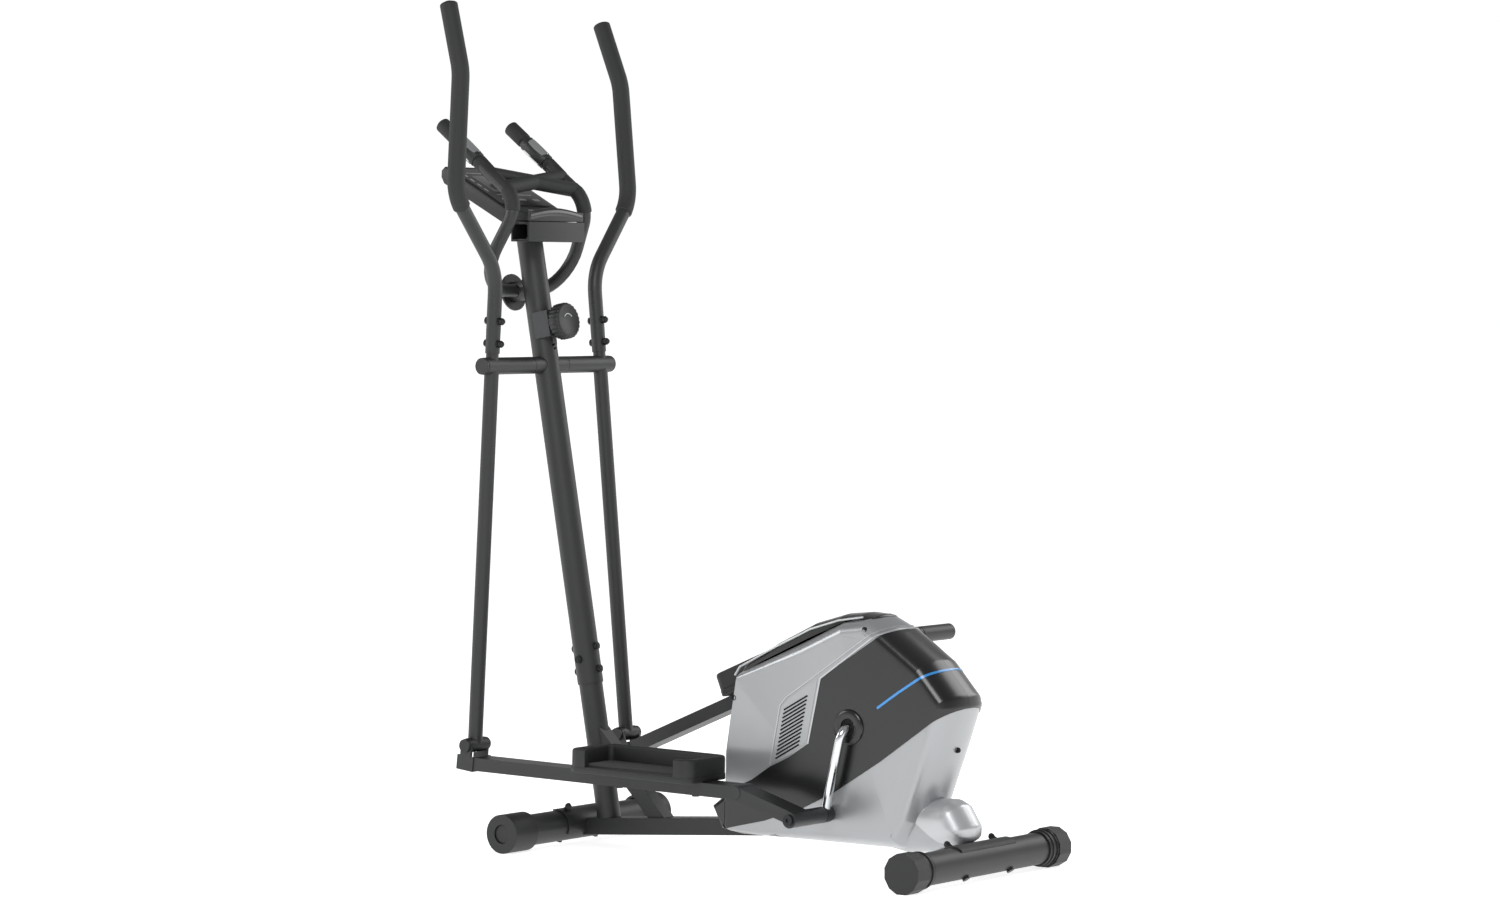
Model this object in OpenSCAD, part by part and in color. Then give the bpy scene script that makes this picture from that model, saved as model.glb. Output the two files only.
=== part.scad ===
// Elliptical trainer: mast and swing handlebars at the front, pedals on long
// arms, and a crank, flywheel and magnetic brake inside a housing at the rear.
// +X runs from the mast to the housing, +Y to the user's right, +Z up.
// Lengths below are measured from the handlebar pivot in x and from the floor
// in z; centred() moves the finished sub-parts to the middle of the footprint.

/* [Mast] */
// Height of the handlebar pivot above the floor
pivot_h = 919; // [880:1:950]
// Forward lean of the mast
mast_lean = 10; // [8:0.5:12]
// Outer diameter of the upper mast
mast_d = 50; // [46:1:54]
// Wall of the mast and of the lower post
mast_wall = 2; // [1.5:0.1:3]
// Height of the joint between lower post and mast
joint_h = 307; // [290:1:340]
// Length of the lower post that stands inside the mast
joint_overlap = 100; // [90:1:110]

/* [Base] */
// Distance from the pivot to the front stabiliser
front_x = 83; // [70:1:95]
// Distance from the pivot to the rear stabiliser
rear_x = 1007; // [1000:1:1050]
// Outer diameter of both stabiliser tubes
foot_d = 59; // [52:1:62]
// Wall of the stabiliser tubes
foot_wall = 2; // [1.5:0.1:3]
// Length of the front stabiliser over its rollers
front_w = 476; // [420:1:560]
// Length of the rear stabiliser over its levelling caps
rear_w = 500; // [440:1:580]
// Diameter of the transport rollers
roller_d = 74; // [72:1:84]
// Length of one transport roller
roller_w = 65; // [45:1:75]
// Distance of the levelling caps' centre below the tube's centre
cap_throw = 1; // [0:0.1:2]
// Length of one levelling cap
cap_w = 38; // [30:1:50]
// Width of the base beam
beam_w = 40; // [36:1:44]
// Height of the base beam
beam_t = 32; // [28:1:36]
// Rise of the base beam towards the rear
beam_rise = 4; // [3.5:0.1:4.5]
// Side of the square brace behind the post
brace_w = 30; // [24:1:34]
// Slope of the brace
brace_slope = 46; // [42:1:50]

/* [Linkage] */
// Distance from the pivot to the crank axle
crank_x = 765; // [750:1:785]
// Height of the crank axle
crank_h = 267; // [255:1:280]
// Throw of the crank
crank_r = 165; // [150:1:172]
// Angle of the left crank ahead of its lowest point
crank_phase = 13.6; // [5:0.1:20]
// Length of a swing arm, pivot to pivot
swing_len = 727; // [715:1:735]
// Length of a pedal arm, pivot to crank pin
rod_len = 775; // [765:1:795]
// Distance of each swing arm from the middle plane
arm_y = 165; // [162:1:175]
// Outer diameter of swing arms and handlebars
arm_d = 28; // [26:1:30]
// Outer diameter of the pivot sleeves
sleeve_d = 33; // [32:1:38]
// Diameter of the pivot axle
axle_d = 16; // [12:1:20]
// Radial clearance of every running fit
run_gap = 0.05; // [0.02:0.01:0.1]
// Diameter of the pins through the clevises
pin_d = 12; // [10:1:14]

/* [Pedals] */
// Width of the pedal arm tube
rod_w = 50; // [44:1:52]
// Height of the pedal arm tube
rod_t = 26; // [22:1:30]
// Tilt of the arm's long tube against the line between its pivots
rod_tilt = 5.3; // [4.5:0.1:6]
// Drop of the tube's centre below the front pivot
rod_drop = 35; // [33:1:40]
// Length of a pedal
pedal_l = 286; // [240:1:310]
// Width of a pedal
pedal_w = 128; // [116:1:140]
// Height of the pedal's walls above its floor
pedal_h = 33; // [20:1:45]
// Thickness of the pedal's floor
pedal_floor = 12; // [9:1:16]
// Distance from the front pivot to the front of the pedal
pedal_start = 286; // [270:1:310]

/* [Handlebars] */
// Distance of each handlebar grip from the middle plane
handle_y = 293; // [280:1:310]
// Length of a handlebar above the pivot
handle_up = 682; // [650:1:720]
// Outer diameter of the foam on the swing handlebars
grip_d = 34; // [32:1:38]
// Diameter of the fixed handlebar
bar_d = 25; // [22:1:26]
// Diameter of the foam on the fixed handlebar
bar_grip_d = 30; // [29:1:34]
// Height of the fixed handlebar's clamp above the pivot
clamp_up = 144; // [136:1:156]

/* [Console] */
// Width of the console
console_w = 170; // [150:1:180]
// Length of the console's face
console_l = 178; // [160:1:184]
// Slope of the console's face
console_slope = 28.5; // [26:0.5:31]
// Diameter of the tension knob
knob_d = 71; // [60:1:76]
// Depth of the tension knob
knob_t = 24; // [18:1:30]
// Height of the tension control above the pivot
knob_up = 75; // [69:1:83]

/* [Drive] */
// Half width of the housing
shell_half = 68; // [66:1:70]
// Wall of the housing shells
shell_wall = 3; // [2:0.5:4]
// Thickness of the glossy panels on the housing
panel_t = 2.4; // [1.5:0.1:3]
// Radius of the drive pulley
pulley_r = 120; // [100:1:125]
// Radius of the flywheel
flywheel_r = 98; // [85:1:100]
// Thickness of the flywheel
flywheel_t = 28; // [20:1:32]
// Gap between flywheel and magnets at the lightest level
magnet_gap = 8; // [7:0.5:10]

/* [Hidden] */
$fn = 64;
LEFT = -1;
RIGHT = 1;
over = 1;           // how far a cutting tool runs past the piece it cuts
seat_gap = 0.2;     // clearance between pieces that are fastened together
hull_fn = 32;
black_steel = "#2b2c2e";
bright_steel = "#b9bcc0";
silver_plastic = "#a9adb1";
gloss_black = "#101114";
matte_black = "#1b1b1c";
foam_black = "#232323";

// ---- Linkage at rest -------------------------------------------------------
// Crank pin of one side, as [x, z]; the two cranks are half a turn apart.
function crank_pin(s) = [crank_x + s * crank_r * sin(crank_phase),
    crank_h + s * crank_r * cos(crank_phase)];
// Where the swing arm and the pedal arm meet, as [x, z]: the circle of the
// swing arm about the pivot crosses the circle of the pedal arm about the pin.
function joint_point(s) =
    let (top = [0, pivot_h])
    let (reach = crank_pin(s) - top)
    let (d = norm(reach))
    let (u = reach / d)
    let (a = (swing_len ^ 2 - rod_len ^ 2 + d ^ 2) / (2 * d))
    top + a * u + sqrt(swing_len ^ 2 - a ^ 2) * [u[1], -u[0]];
// Angle of the swing arm about +Y; positive has its lower end forward.
function swing_angle(s) = asin(-joint_point(s)[0] / swing_len);
// Rise of the line from the front pivot to the crank pin.
function rod_angle(s) =
    let (v = crank_pin(s) - joint_point(s))
    atan2(v[1], v[0]);

// ---- Places that several sub-parts share -----------------------------------
function mast_x(z) = (pivot_h - z) * tan(mast_lean);
beam_front_h = 31;
function beam_z(x) = beam_front_h + (x - front_x) * tan(beam_rise);
foot_h = roller_d / 2;
cap_flats = 12;
cap_in_r = foot_h - cap_throw;
mast_top_h = pivot_h + 293;
clamp_h = pivot_h + clamp_up;
knob_h = pivot_h + knob_up;
// Point beside the mast: h is the height of its foot on the axis.
function mast_at(h, out, side = 0) = [mast_x(h) + out * cos(mast_lean), side,
    h + out * sin(mast_lean)];
post_d = mast_d - 2 * mast_wall - 2 * seat_gap;
bar_tip = [-175, 103, pivot_h + 465];
bar_bend = [20, 106, pivot_h + 313];
bar_low_y = 138;
bar_run = (bar_bend - bar_tip) / norm(bar_bend - bar_tip);
grip_nose = 6;
grip_nose_r = bar_grip_d / 2 - 4;
x_front = bar_tip[0] - grip_nose * bar_run[0] - grip_nose_r * sqrt(1 - bar_run[0] ^ 2);
x_mid = (x_front + rear_x + cap_in_r) / 2;
saddle_t = 3;
bolt_d = 8;
collar_half = 50;
sleeve_half = 190;
crank_arm_y = 90;
crank_arm_t = 18;
crank_bar_r = 8.5;
crank_axle_d = 20;
boss_hole_r = 24;
ring_hole_r = 16;
pulley_y = 37;
pulley_w = 14;
small_pulley_r = 16;
belt_t = 4;
belt_w = 10;
flywheel_x = 598;
flywheel_h = 200;
flywheel_shaft_d = 12;
fork_in = 20;
fork_t = 4;
magnet_t = 6;
magnet_pivot = [flywheel_x - 86, flywheel_h + 83];
magnet_pin_d = 10;
bearing_d = 40;
bearing_w = 12;
bearing_shell_d = 48;
bush_in = crank_arm_y + crank_arm_t / 2 + 1.2;
bush_out = 200;
bush_r = 15;

module centred() {
    translate([-x_mid, 0, 0]) children();
}

// Cylinder along Y between two values of y.
module y_rod(r, y0, y1) {
    translate([0, min(y0, y1), 0]) rotate([-90, 0, 0]) cylinder(r = r, h = abs(y1 - y0));
}

// Ring along Y between two values of y.
module y_ring(r, bore, y0, y1) {
    difference() {
        y_rod(r, y0, y1);
        y_rod(bore, min(y0, y1) - over, max(y0, y1) + over);
    }
}

// Puts children in the mast's frame: z up its axis, origin on it at height z.
module on_mast(z) {
    translate([mast_x(z), 0, z]) rotate([0, -mast_lean, 0]) children();
}

// Puts children in a swing arm's frame: origin on the pivot, z up the arm.
module on_swing(s) {
    translate([0, s * arm_y, pivot_h]) rotate([0, swing_angle(s), 0]) children();
}

// Puts children in a pedal arm's frame: origin on the front pivot, +X to the pin.
module on_rod(s) {
    p = joint_point(s);
    translate([p[0], s * arm_y, p[1]]) rotate([0, -rod_angle(s), 0]) children();
}

// Puts children in the frame of a pedal arm's long tube.
module on_tube(s) {
    on_rod(s) translate([0, 0, -rod_drop]) rotate([0, -rod_tilt, 0]) children();
}

// Puts children in the base beam's frame: x along it from the front stabiliser.
module on_beam() {
    translate([front_x, 0, beam_front_h]) rotate([0, -beam_rise, 0]) children();
}

// Extrudes a side view, drawn in X and Z, between two values of y.
module side_plate(y0, y1) {
    translate([0, max(y0, y1), 0]) rotate([90, 0, 0])
        linear_extrude(height = abs(y1 - y0)) children();
}

// Cylinder or cone from point a to point b.
module strut(a, b, r, end_r = -1) {
    v = b - a;
    translate(a) rotate([0, acos(v[2] / norm(v)), atan2(v[1], v[0])])
        cylinder(r1 = r, r2 = end_r < 0 ? r : end_r, h = norm(v));
}

// ---- Bent tubes ------------------------------------------------------------
function unit(v) = v / norm(v);
function across(p, s) = [p[0], s * p[1], p[2]];
// Points of one rounded corner of radius r at point p between points a and b.
function corner_arc(a, p, b, r, steps) =
    let (u = unit(a - p))
    let (v = unit(b - p))
    let (half = acos(u * v) / 2)
    let (centre = p + unit(u + v) * r / sin(half))
    let (from = unit(p + u * r / tan(half) - centre))
    let (to = unit(p + v * r / tan(half) - centre))
    let (turn = acos(from * to))
    [for (k = [0 : steps]) centre
        + r * (sin(turn * (1 - k / steps)) * from + sin(turn * k / steps) * to) / sin(turn)];
// A path with every inner corner rounded to its own radius.
function round_path(p, radii, steps) = [
    p[0],
    for (i = [1 : len(p) - 2])
        each corner_arc(p[i - 1], p[i], p[i + 1], radii[i - 1], steps),
    p[len(p) - 1]
];
function tangents(p) = [for (i = [0 : len(p) - 1])
    unit(p[min(i + 1, len(p) - 1)] - p[max(i - 1, 0)])];
function any_normal(t) = unit(cross(t, abs(t[0]) < 0.8 ? [1, 0, 0] : [0, 1, 0]));
function carry(n, t) = unit(n - (n * t) * t);
function normals(t) = [for (i = 0, n = any_normal(t[0]); i < len(t);
    i = i + 1, n = carry(n, t[min(i, len(t) - 1)])) n];
function rings(p, r, sides) =
    let (t = tangents(p))
    let (n = normals(t))
    [for (i = [0 : len(p) - 1]) for (k = [0 : sides - 1])
        p[i] + r * (cos(360 * k / sides) * n[i] + sin(360 * k / sides) * cross(t[i], n[i]))];
// Side faces of a run of rings whose first point is number base.
function side_faces(base, count, sides, inward) = [
    for (i = [0 : count - 2]) for (k = [0 : sides - 1])
        let (a = base + i * sides + k)
        let (b = base + i * sides + (k + 1) % sides)
        each (inward ? [[a, b, b + sides], [a, b + sides, a + sides]]
            : [[a, b + sides, b], [a, a + sides, b + sides]])];
// Solid bar swept along path p.
module swept_bar(p, r, sides = 16) {
    n = len(p);
    near_cap = [for (k = [0 : sides - 1]) k];
    far_cap = [for (k = [sides - 1 : -1 : 0]) (n - 1) * sides + k];
    polyhedron(points = rings(p, r, sides),
        faces = concat(side_faces(0, n, sides, false), [near_cap, far_cap]));
}
// Open tube swept along path p.
module swept_tube(p, r, bore, sides = 16) {
    n = len(p);
    base = n * sides;
    near_ring = [for (k = [0 : sides - 1])
        let (j = (k + 1) % sides)
        each [[k, j, base + j], [k, base + j, base + k]]];
    far_ring = [for (k = [0 : sides - 1])
        let (j = (k + 1) % sides)
        let (o = (n - 1) * sides)
        each [[o + k, o + base + j, o + j], [o + k, o + base + k, o + base + j]]];
    polyhedron(points = concat(rings(p, r, sides), rings(p, bore, sides)),
        faces = concat(side_faces(0, n, sides, false), side_faces(base, n, sides, true),
            near_ring, far_ring));
}

// ---- Fasteners -------------------------------------------------------------
// Bolt up +Z with its head under z = 0 and a domed nut over z = grip.
module dome_bolt(d, grip) {
    translate([0, 0, -0.5 * d - seat_gap]) cylinder(r = 0.9 * d, h = 0.5 * d);
    translate([0, 0, -0.4 * d]) cylinder(d = d, h = grip + 0.9 * d);
    translate([0, 0, grip + seat_gap]) cylinder(r = 0.95 * d, h = 0.2 * d);
    translate([0, 0, grip + 0.3 * d]) cylinder(r = 0.85 * d, h = 0.8 * d, $fn = 6);
    translate([0, 0, grip + d]) sphere(r = 0.65 * d, $fn = 24);
}

// ---- Base frame ------------------------------------------------------------
beam_end_x = 790;
beam_wall = 2;
tail_w = 34;
tail_t = 26;
tail_from = [beam_end_x - 26, 0, beam_z(beam_end_x - 26)];
tail_to = [rear_x, 0, foot_h + 10];
tail_v = tail_to - tail_from;
front_saddle_half = 75;
rear_saddle_half = 88;
front_bolt_y = 55;
rear_bolt_y = 72;
front_bolt_tilt = 20;
rear_bolt_tilt = -35;

module beam_box(grow) {
    on_beam() translate([0, -beam_w / 2 - grow, -beam_t / 2 - grow])
        cube([beam_end_x - front_x, beam_w + 2 * grow, beam_t + 2 * grow]);
}
module tail_box(grow) {
    translate(tail_from) rotate([0, -atan2(tail_v[2], tail_v[0]), 0])
        translate([0, -tail_w / 2 - grow, -tail_t / 2 - grow])
            cube([norm(tail_v), tail_w + 2 * grow, tail_t + 2 * grow]);
}
module stabiliser_bolt_places(x, y, tilt) {
    for (s = [LEFT, RIGHT]) translate([x, s * y, foot_h]) rotate([0, tilt, 0]) children();
}
module stabiliser_holes() {
    stabiliser_bolt_places(front_x, front_bolt_y, front_bolt_tilt)
        cylinder(d = bolt_d + 2 * seat_gap, h = 2 * foot_d, center = true);
    stabiliser_bolt_places(rear_x, rear_bolt_y, rear_bolt_tilt)
        cylinder(d = bolt_d + 2 * seat_gap, h = 2 * foot_d, center = true);
}
module saddle_blank(half) {
    y_rod(foot_d / 2 + seat_gap + saddle_t, -half, half);
}
module base_beam() {
    color(black_steel) difference() {
        union() {
            beam_box(0);
            tail_box(0);
            translate([front_x, 0, foot_h]) difference() {
                saddle_blank(front_saddle_half);
                translate([-foot_d - 8, -100, -foot_d]) cube([foot_d, 200, 2 * foot_d]);
                translate([-foot_d, -100, -foot_d - 14]) cube([2 * foot_d, 200, foot_d]);
            }
            translate([rear_x, 0, foot_h]) difference() {
                saddle_blank(rear_saddle_half);
                translate([20, -100, -foot_d]) cube([foot_d, 200, 2 * foot_d]);
                translate([-foot_d, -100, -foot_d - 5]) cube([2 * foot_d, 200, foot_d]);
            }
        }
        on_beam() translate([foot_d / 2 + 8, beam_wall - beam_w / 2, beam_wall - beam_t / 2])
            cube([beam_end_x - front_x - 120, beam_w - 2 * beam_wall, beam_t - 2 * beam_wall]);
        for (x = [front_x, rear_x]) translate([x, 0, foot_h])
            y_rod(foot_d / 2 + seat_gap, -100, 100);
        stabiliser_holes();
        for (p = [cable_down, cable_up]) translate([p[0], p[1], p[2] - 8])
            cylinder(r = cable_hole_r, h = 30);
    }
}

post_len = (joint_h + joint_overlap) / cos(mast_lean);
module above_beam() {
    difference() {
        children();
        on_beam() translate([-100, -100, -200]) cube([beam_end_x + 100, 200, 200 + beam_t / 2]);
    }
}
module lower_post() {
    color(black_steel) difference() {
        above_beam() on_mast(0) cylinder(d = post_d, h = post_len);
        on_mast(0) translate([0, 0, -over])
            cylinder(d = post_d - 2 * mast_wall, h = post_len + 2 * over);
        mast_bolt_holes();
    }
}
brace_top_h = 222;
module post_brace() {
    color(black_steel) difference() {
        above_beam() translate([mast_x(brace_top_h), 0, brace_top_h])
            rotate([0, brace_slope, 0]) difference() {
                translate([0, -brace_w / 2, -brace_w / 2]) cube([280, brace_w, brace_w]);
                translate([-20, 2 - brace_w / 2, 2 - brace_w / 2])
                    cube([320, brace_w - 4, brace_w - 4]);
            }
        on_mast(0) cylinder(d = post_d + 2 * seat_gap, h = post_len);
    }
}

// Three bolts clamp the mast onto the post: two from behind, one from the side.
mast_bolt_up = [26, 48, 70];
module mast_bolt_places() {
    for (i = [0 : 2]) on_mast(joint_h) translate([0, 0, mast_bolt_up[i]])
        rotate([0, 0, i == 1 ? -90 : 0]) rotate([0, 90, 0])
            translate([0, 0, -mast_d / 2 - seat_gap]) children();
}
module mast_bolt_holes() {
    mast_bolt_places() translate([0, 0, -bolt_d])
        cylinder(d = bolt_d + 2 * seat_gap, h = mast_d + 2 * bolt_d);
}
module mast_bolts() {
    color(bright_steel) mast_bolt_places() {
        translate([0, 0, -0.6 * bolt_d]) cylinder(r = 0.9 * bolt_d, h = 0.6 * bolt_d);
        cylinder(d = bolt_d, h = mast_d + 0.8 * bolt_d);
        translate([0, 0, mast_d + 2 * seat_gap]) cylinder(r = 0.9 * bolt_d, h = 0.6 * bolt_d);
    }
}
module mast() {
    cable_hole_at = [0, 0, (cable_gate_h - joint_h) / cos(mast_lean)];
    color(black_steel) on_mast(joint_h) difference() {
        cylinder(d = mast_d, h = (mast_top_h - joint_h) / cos(mast_lean));
        translate([0, 0, -over])
            cylinder(d = mast_d - 2 * mast_wall, h = mast_top_h);
        translate([0, 0, (pivot_h - joint_h) / cos(mast_lean)])
            y_rod(sleeve_d / 2 + seat_gap, -mast_d, mast_d);
        translate(cable_hole_at) rotate([0, 90, 0]) cylinder(r = cable_hole_r, h = mast_d);
        for (i = [0 : 2]) translate([0, 0, mast_bolt_up[i]])
            rotate([0, 0, i == 1 ? -90 : 0]) rotate([0, 90, 0])
                cylinder(d = bolt_d + 2 * seat_gap, h = 2 * mast_d, center = true);
    }
}

// ---- Stabilisers -----------------------------------------------------------
front_tube_half = front_w / 2 - roller_w - 1;
plug_r = foot_d / 2 - foot_wall - seat_gap;
spigot_r = 12;
module front_stabiliser() {
    color(black_steel) difference() {
        translate([front_x, 0, foot_h])
            y_ring(foot_d / 2, foot_d / 2 - foot_wall, -front_tube_half, front_tube_half);
        stabiliser_holes();
    }
}
module front_axle_plugs() {
    color(matte_black) translate([front_x, 0, foot_h]) for (s = [LEFT, RIGHT]) {
        y_rod(plug_r, s * (front_tube_half - 20), s * (front_tube_half + 0.5));
        y_rod(spigot_r, s * front_tube_half, s * (front_w / 2 - 6));
        y_rod(spigot_r + 5, s * (front_w / 2 - 6.5), s * (front_w / 2 - 3));
    }
}
module front_roller(s) {
    color(matte_black) translate([front_x, 0, foot_h]) difference() {
        y_rod(roller_d / 2, s * (front_w / 2 - roller_w), s * front_w / 2);
        y_rod(spigot_r + run_gap, s * (front_w / 2 - roller_w - over), s * front_w / 2);
        y_rod(spigot_r + 6, s * (front_w / 2 - 7), s * (front_w / 2 + over));
        y_ring(roller_d / 2 - 5, spigot_r + 5, s * (front_w / 2 - roller_w - over),
            s * (front_w / 2 - 10));
    }
}
module front_roller_left() {
    front_roller(LEFT);
}
module front_roller_right() {
    front_roller(RIGHT);
}
rear_tube_half = rear_w / 2 - 6;
module rear_stabiliser() {
    color(black_steel) difference() {
        translate([rear_x, 0, foot_h])
            y_ring(foot_d / 2, foot_d / 2 - foot_wall, -rear_tube_half, rear_tube_half);
        stabiliser_holes();
    }
}
sleeve_w = 25;
module levelling_sleeves() {
    cap_in = rear_w / 2 - cap_w - 0.5;
    color(matte_black) translate([rear_x, 0, foot_h]) for (s = [LEFT, RIGHT])
        difference() {
            union() {
                y_rod(foot_d / 2 + 3, s * (cap_in - sleeve_w), s * cap_in);
                for (d = [0, sleeve_w / 2])
                    y_rod(foot_d / 2 + 5, s * (cap_in - d - 4), s * (cap_in - d));
            }
            y_rod(foot_d / 2 + seat_gap, s * 100, s * rear_w);
        }
}
module levelling_cap(s) {
    color(matte_black) translate([rear_x, 0, foot_h]) difference() {
        translate([0, s * (rear_w / 2 - cap_w / 2), -cap_throw]) rotate([90, 0, 0])
            rotate([0, 0, 180 / cap_flats])
                cylinder(r = cap_in_r / cos(180 / cap_flats), h = cap_w, center = true,
                    $fn = cap_flats);
        y_rod(foot_d / 2 + run_gap, s * 100, s * (rear_w / 2 - 5));
    }
}
module levelling_cap_left() {
    levelling_cap(LEFT);
}
module levelling_cap_right() {
    levelling_cap(RIGHT);
}
module stabiliser_bolts() {
    grip = foot_d + seat_gap + saddle_t + seat_gap;
    color(bright_steel) {
        stabiliser_bolt_places(front_x, front_bolt_y, front_bolt_tilt)
            translate([0, 0, -foot_d / 2]) dome_bolt(bolt_d, grip);
        stabiliser_bolt_places(rear_x, rear_bolt_y, rear_bolt_tilt)
            translate([0, 0, -foot_d / 2]) dome_bolt(bolt_d, grip);
    }
}

// ---- Pivot -----------------------------------------------------------------
module pivot_collar() {
    color(black_steel) translate([0, 0, pivot_h])
        y_ring(sleeve_d / 2, axle_d / 2 + seat_gap / 2, -collar_half, collar_half);
}
module pivot_axle() {
    color(black_steel) translate([0, 0, pivot_h]) {
        y_rod(axle_d / 2, -sleeve_half - 1, sleeve_half + 1);
        for (s = [LEFT, RIGHT])
            y_rod(sleeve_d / 2 - 0.5, s * (sleeve_half + 0.5), s * (sleeve_half + 5));
    }
}

// ---- Swing arms ------------------------------------------------------------
handle_wall = 1.6;
handle_sides = 20;
handle_bore = arm_d / 2 - handle_wall;
stub_r = handle_bore * cos(180 / handle_sides) - 0.15;
handle_low = 24;
handle_bolts_up = [43, 86];
clevis_in = 21.5;
clevis_ear = 5;
eye_r = 14;

module swing_arm(s) {
    color(black_steel) on_swing(s) difference() {
        union() {
            y_rod(sleeve_d / 2, s * (collar_half + 1 - arm_y), s * (sleeve_half - arm_y));
            translate([0, 0, -swing_len]) cylinder(d = arm_d, h = swing_len);
            cylinder(r = stub_r, h = 105);
            translate([0, 0, -swing_len]) y_rod(eye_r, -clevis_in + 0.5, clevis_in - 0.5);
        }
        translate([0, 0, 28 - swing_len]) cylinder(r = arm_d / 2 - 2, h = swing_len - 56);
        translate([0, 0, 28]) cylinder(r = stub_r - 2.5, h = 100);
        y_rod(axle_d / 2 + run_gap, -200, 200);
        translate([0, 0, -swing_len]) y_rod(pin_d / 2 + run_gap, -50, 50);
        for (z = handle_bolts_up) translate([0, 0, z]) rotate([0, 90, 0])
            cylinder(d = bolt_d + 2 * seat_gap, h = 2 * arm_d, center = true);
    }
}
module swing_arm_left() {
    swing_arm(LEFT);
}
module swing_arm_right() {
    swing_arm(RIGHT);
}

// A handlebar rises from its arm, slants outward and leans forward at the top.
function handle_points(s) = [
    [0, 0, handle_low],
    [0, 0, 180],
    [0, s * (handle_y - arm_y), 323],
    [0, s * (handle_y - arm_y), handle_up - 126],
    [-38, s * (handle_y - arm_y), handle_up]];
handle_steps = 6;
function handle_path(s) = round_path(handle_points(s), [110, 90, 120], handle_steps);
// The foam starts where the second bend starts.
grip_from = handle_steps + 2;
function grip_path(s) =
    let (p = handle_path(s))
    let (n = len(p))
    concat([for (i = [grip_from : n - 2]) p[i]],
        [p[n - 1] + 3 * unit(p[n - 1] - p[n - 2])]);
module handlebar(s) {
    color(black_steel) on_swing(s) difference() {
        swept_tube(handle_path(s), arm_d / 2, handle_bore, handle_sides);
        for (z = handle_bolts_up) translate([0, 0, z]) rotate([0, 90, 0])
            cylinder(d = bolt_d + 2 * seat_gap, h = 2 * arm_d, center = true);
    }
}
module handlebar_left() {
    handlebar(LEFT);
}
module handlebar_right() {
    handlebar(RIGHT);
}
module grip(s) {
    color(foam_black) on_swing(s)
        swept_tube(grip_path(s), grip_d / 2, arm_d / 2 + 0.3, handle_sides);
}
module grip_left() {
    grip(LEFT);
}
module grip_right() {
    grip(RIGHT);
}
module handle_bolts(s) {
    color(bright_steel) on_swing(s) for (z = handle_bolts_up)
        translate([-arm_d / 2, 0, z]) rotate([0, 90, 0]) dome_bolt(bolt_d, arm_d);
}
module handle_bolts_left() {
    handle_bolts(LEFT);
}
module handle_bolts_right() {
    handle_bolts(RIGHT);
}

// ---- Pedal arms ------------------------------------------------------------
clevis_l = 40;
ear_r = 13.5;
rod_wall = 2;
knee_x = rod_len - 135;
knee = [knee_x, -rod_drop + knee_x * tan(rod_tilt)];
knee_drop = atan2(knee[1], rod_len - knee_x);
tube_l = knee_x / cos(rod_tilt);
pedal_bolt_x = [pedal_start + 70, pedal_start + 70 + pedal_l * 0.63];

module clevis() {
    low = -rod_drop - rod_t / 2;
    difference() {
        union() {
            for (d = [-1, 1]) side_plate(d * clevis_in, d * (clevis_in + clevis_ear)) {
                circle(r = ear_r);
                translate([0.4 - ear_r, -22]) square([2 * ear_r - 0.8, 22]);
                translate([-clevis_l / 2, low]) square([clevis_l, -20 - low]);
            }
            translate([-clevis_l / 2, -clevis_in - over, low])
                cube([clevis_l, 2 * clevis_in + 2 * over, 5]);
        }
        y_rod(pin_d / 2, -50, 50);
    }
}
module pedal_arm(s) {
    color(black_steel) {
        on_rod(s) clevis();
        difference() {
            union() {
                on_tube(s) translate([clevis_l / 2 - 1, -rod_w / 2 + 0.5, -rod_t / 2 + 0.5])
                    cube([tube_l - clevis_l / 2 + 1, rod_w - 1, rod_t - 1]);
                on_rod(s) translate([knee[0], 0, knee[1]]) {
                    y_rod(rod_t / 2 + 0.5, -rod_w / 2, rod_w / 2);
                    rotate([0, knee_drop, 0]) translate([0, -rod_w / 2 + 1, -rod_t / 2 + 1])
                        cube([norm([rod_len, 0] - knee) - 4, rod_w - 2, rod_t - 2]);
                }
                on_rod(s) translate([rod_len, 0, 0])
                    y_rod(bush_r, s * (bush_in - arm_y), s * (bush_out - arm_y));
            }
            on_tube(s) translate([clevis_l / 2 + 4, rod_wall - rod_w / 2 + 0.5, rod_wall - rod_t / 2 + 0.5])
                cube([tube_l - clevis_l / 2 - 24, rod_w - 2 * rod_wall - 1, rod_t - 2 * rod_wall - 1]);
            on_rod(s) translate([rod_len, 0, 0]) y_rod(pin_d / 2, -200, 200);
            on_tube(s) for (x = pedal_bolt_x) translate([x, 0, -rod_t])
                cylinder(d = bolt_d + 2 * seat_gap, h = 2 * rod_t);
        }
    }
}
module pedal_arm_left() {
    pedal_arm(LEFT);
}
module pedal_arm_right() {
    pedal_arm(RIGHT);
}

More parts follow.
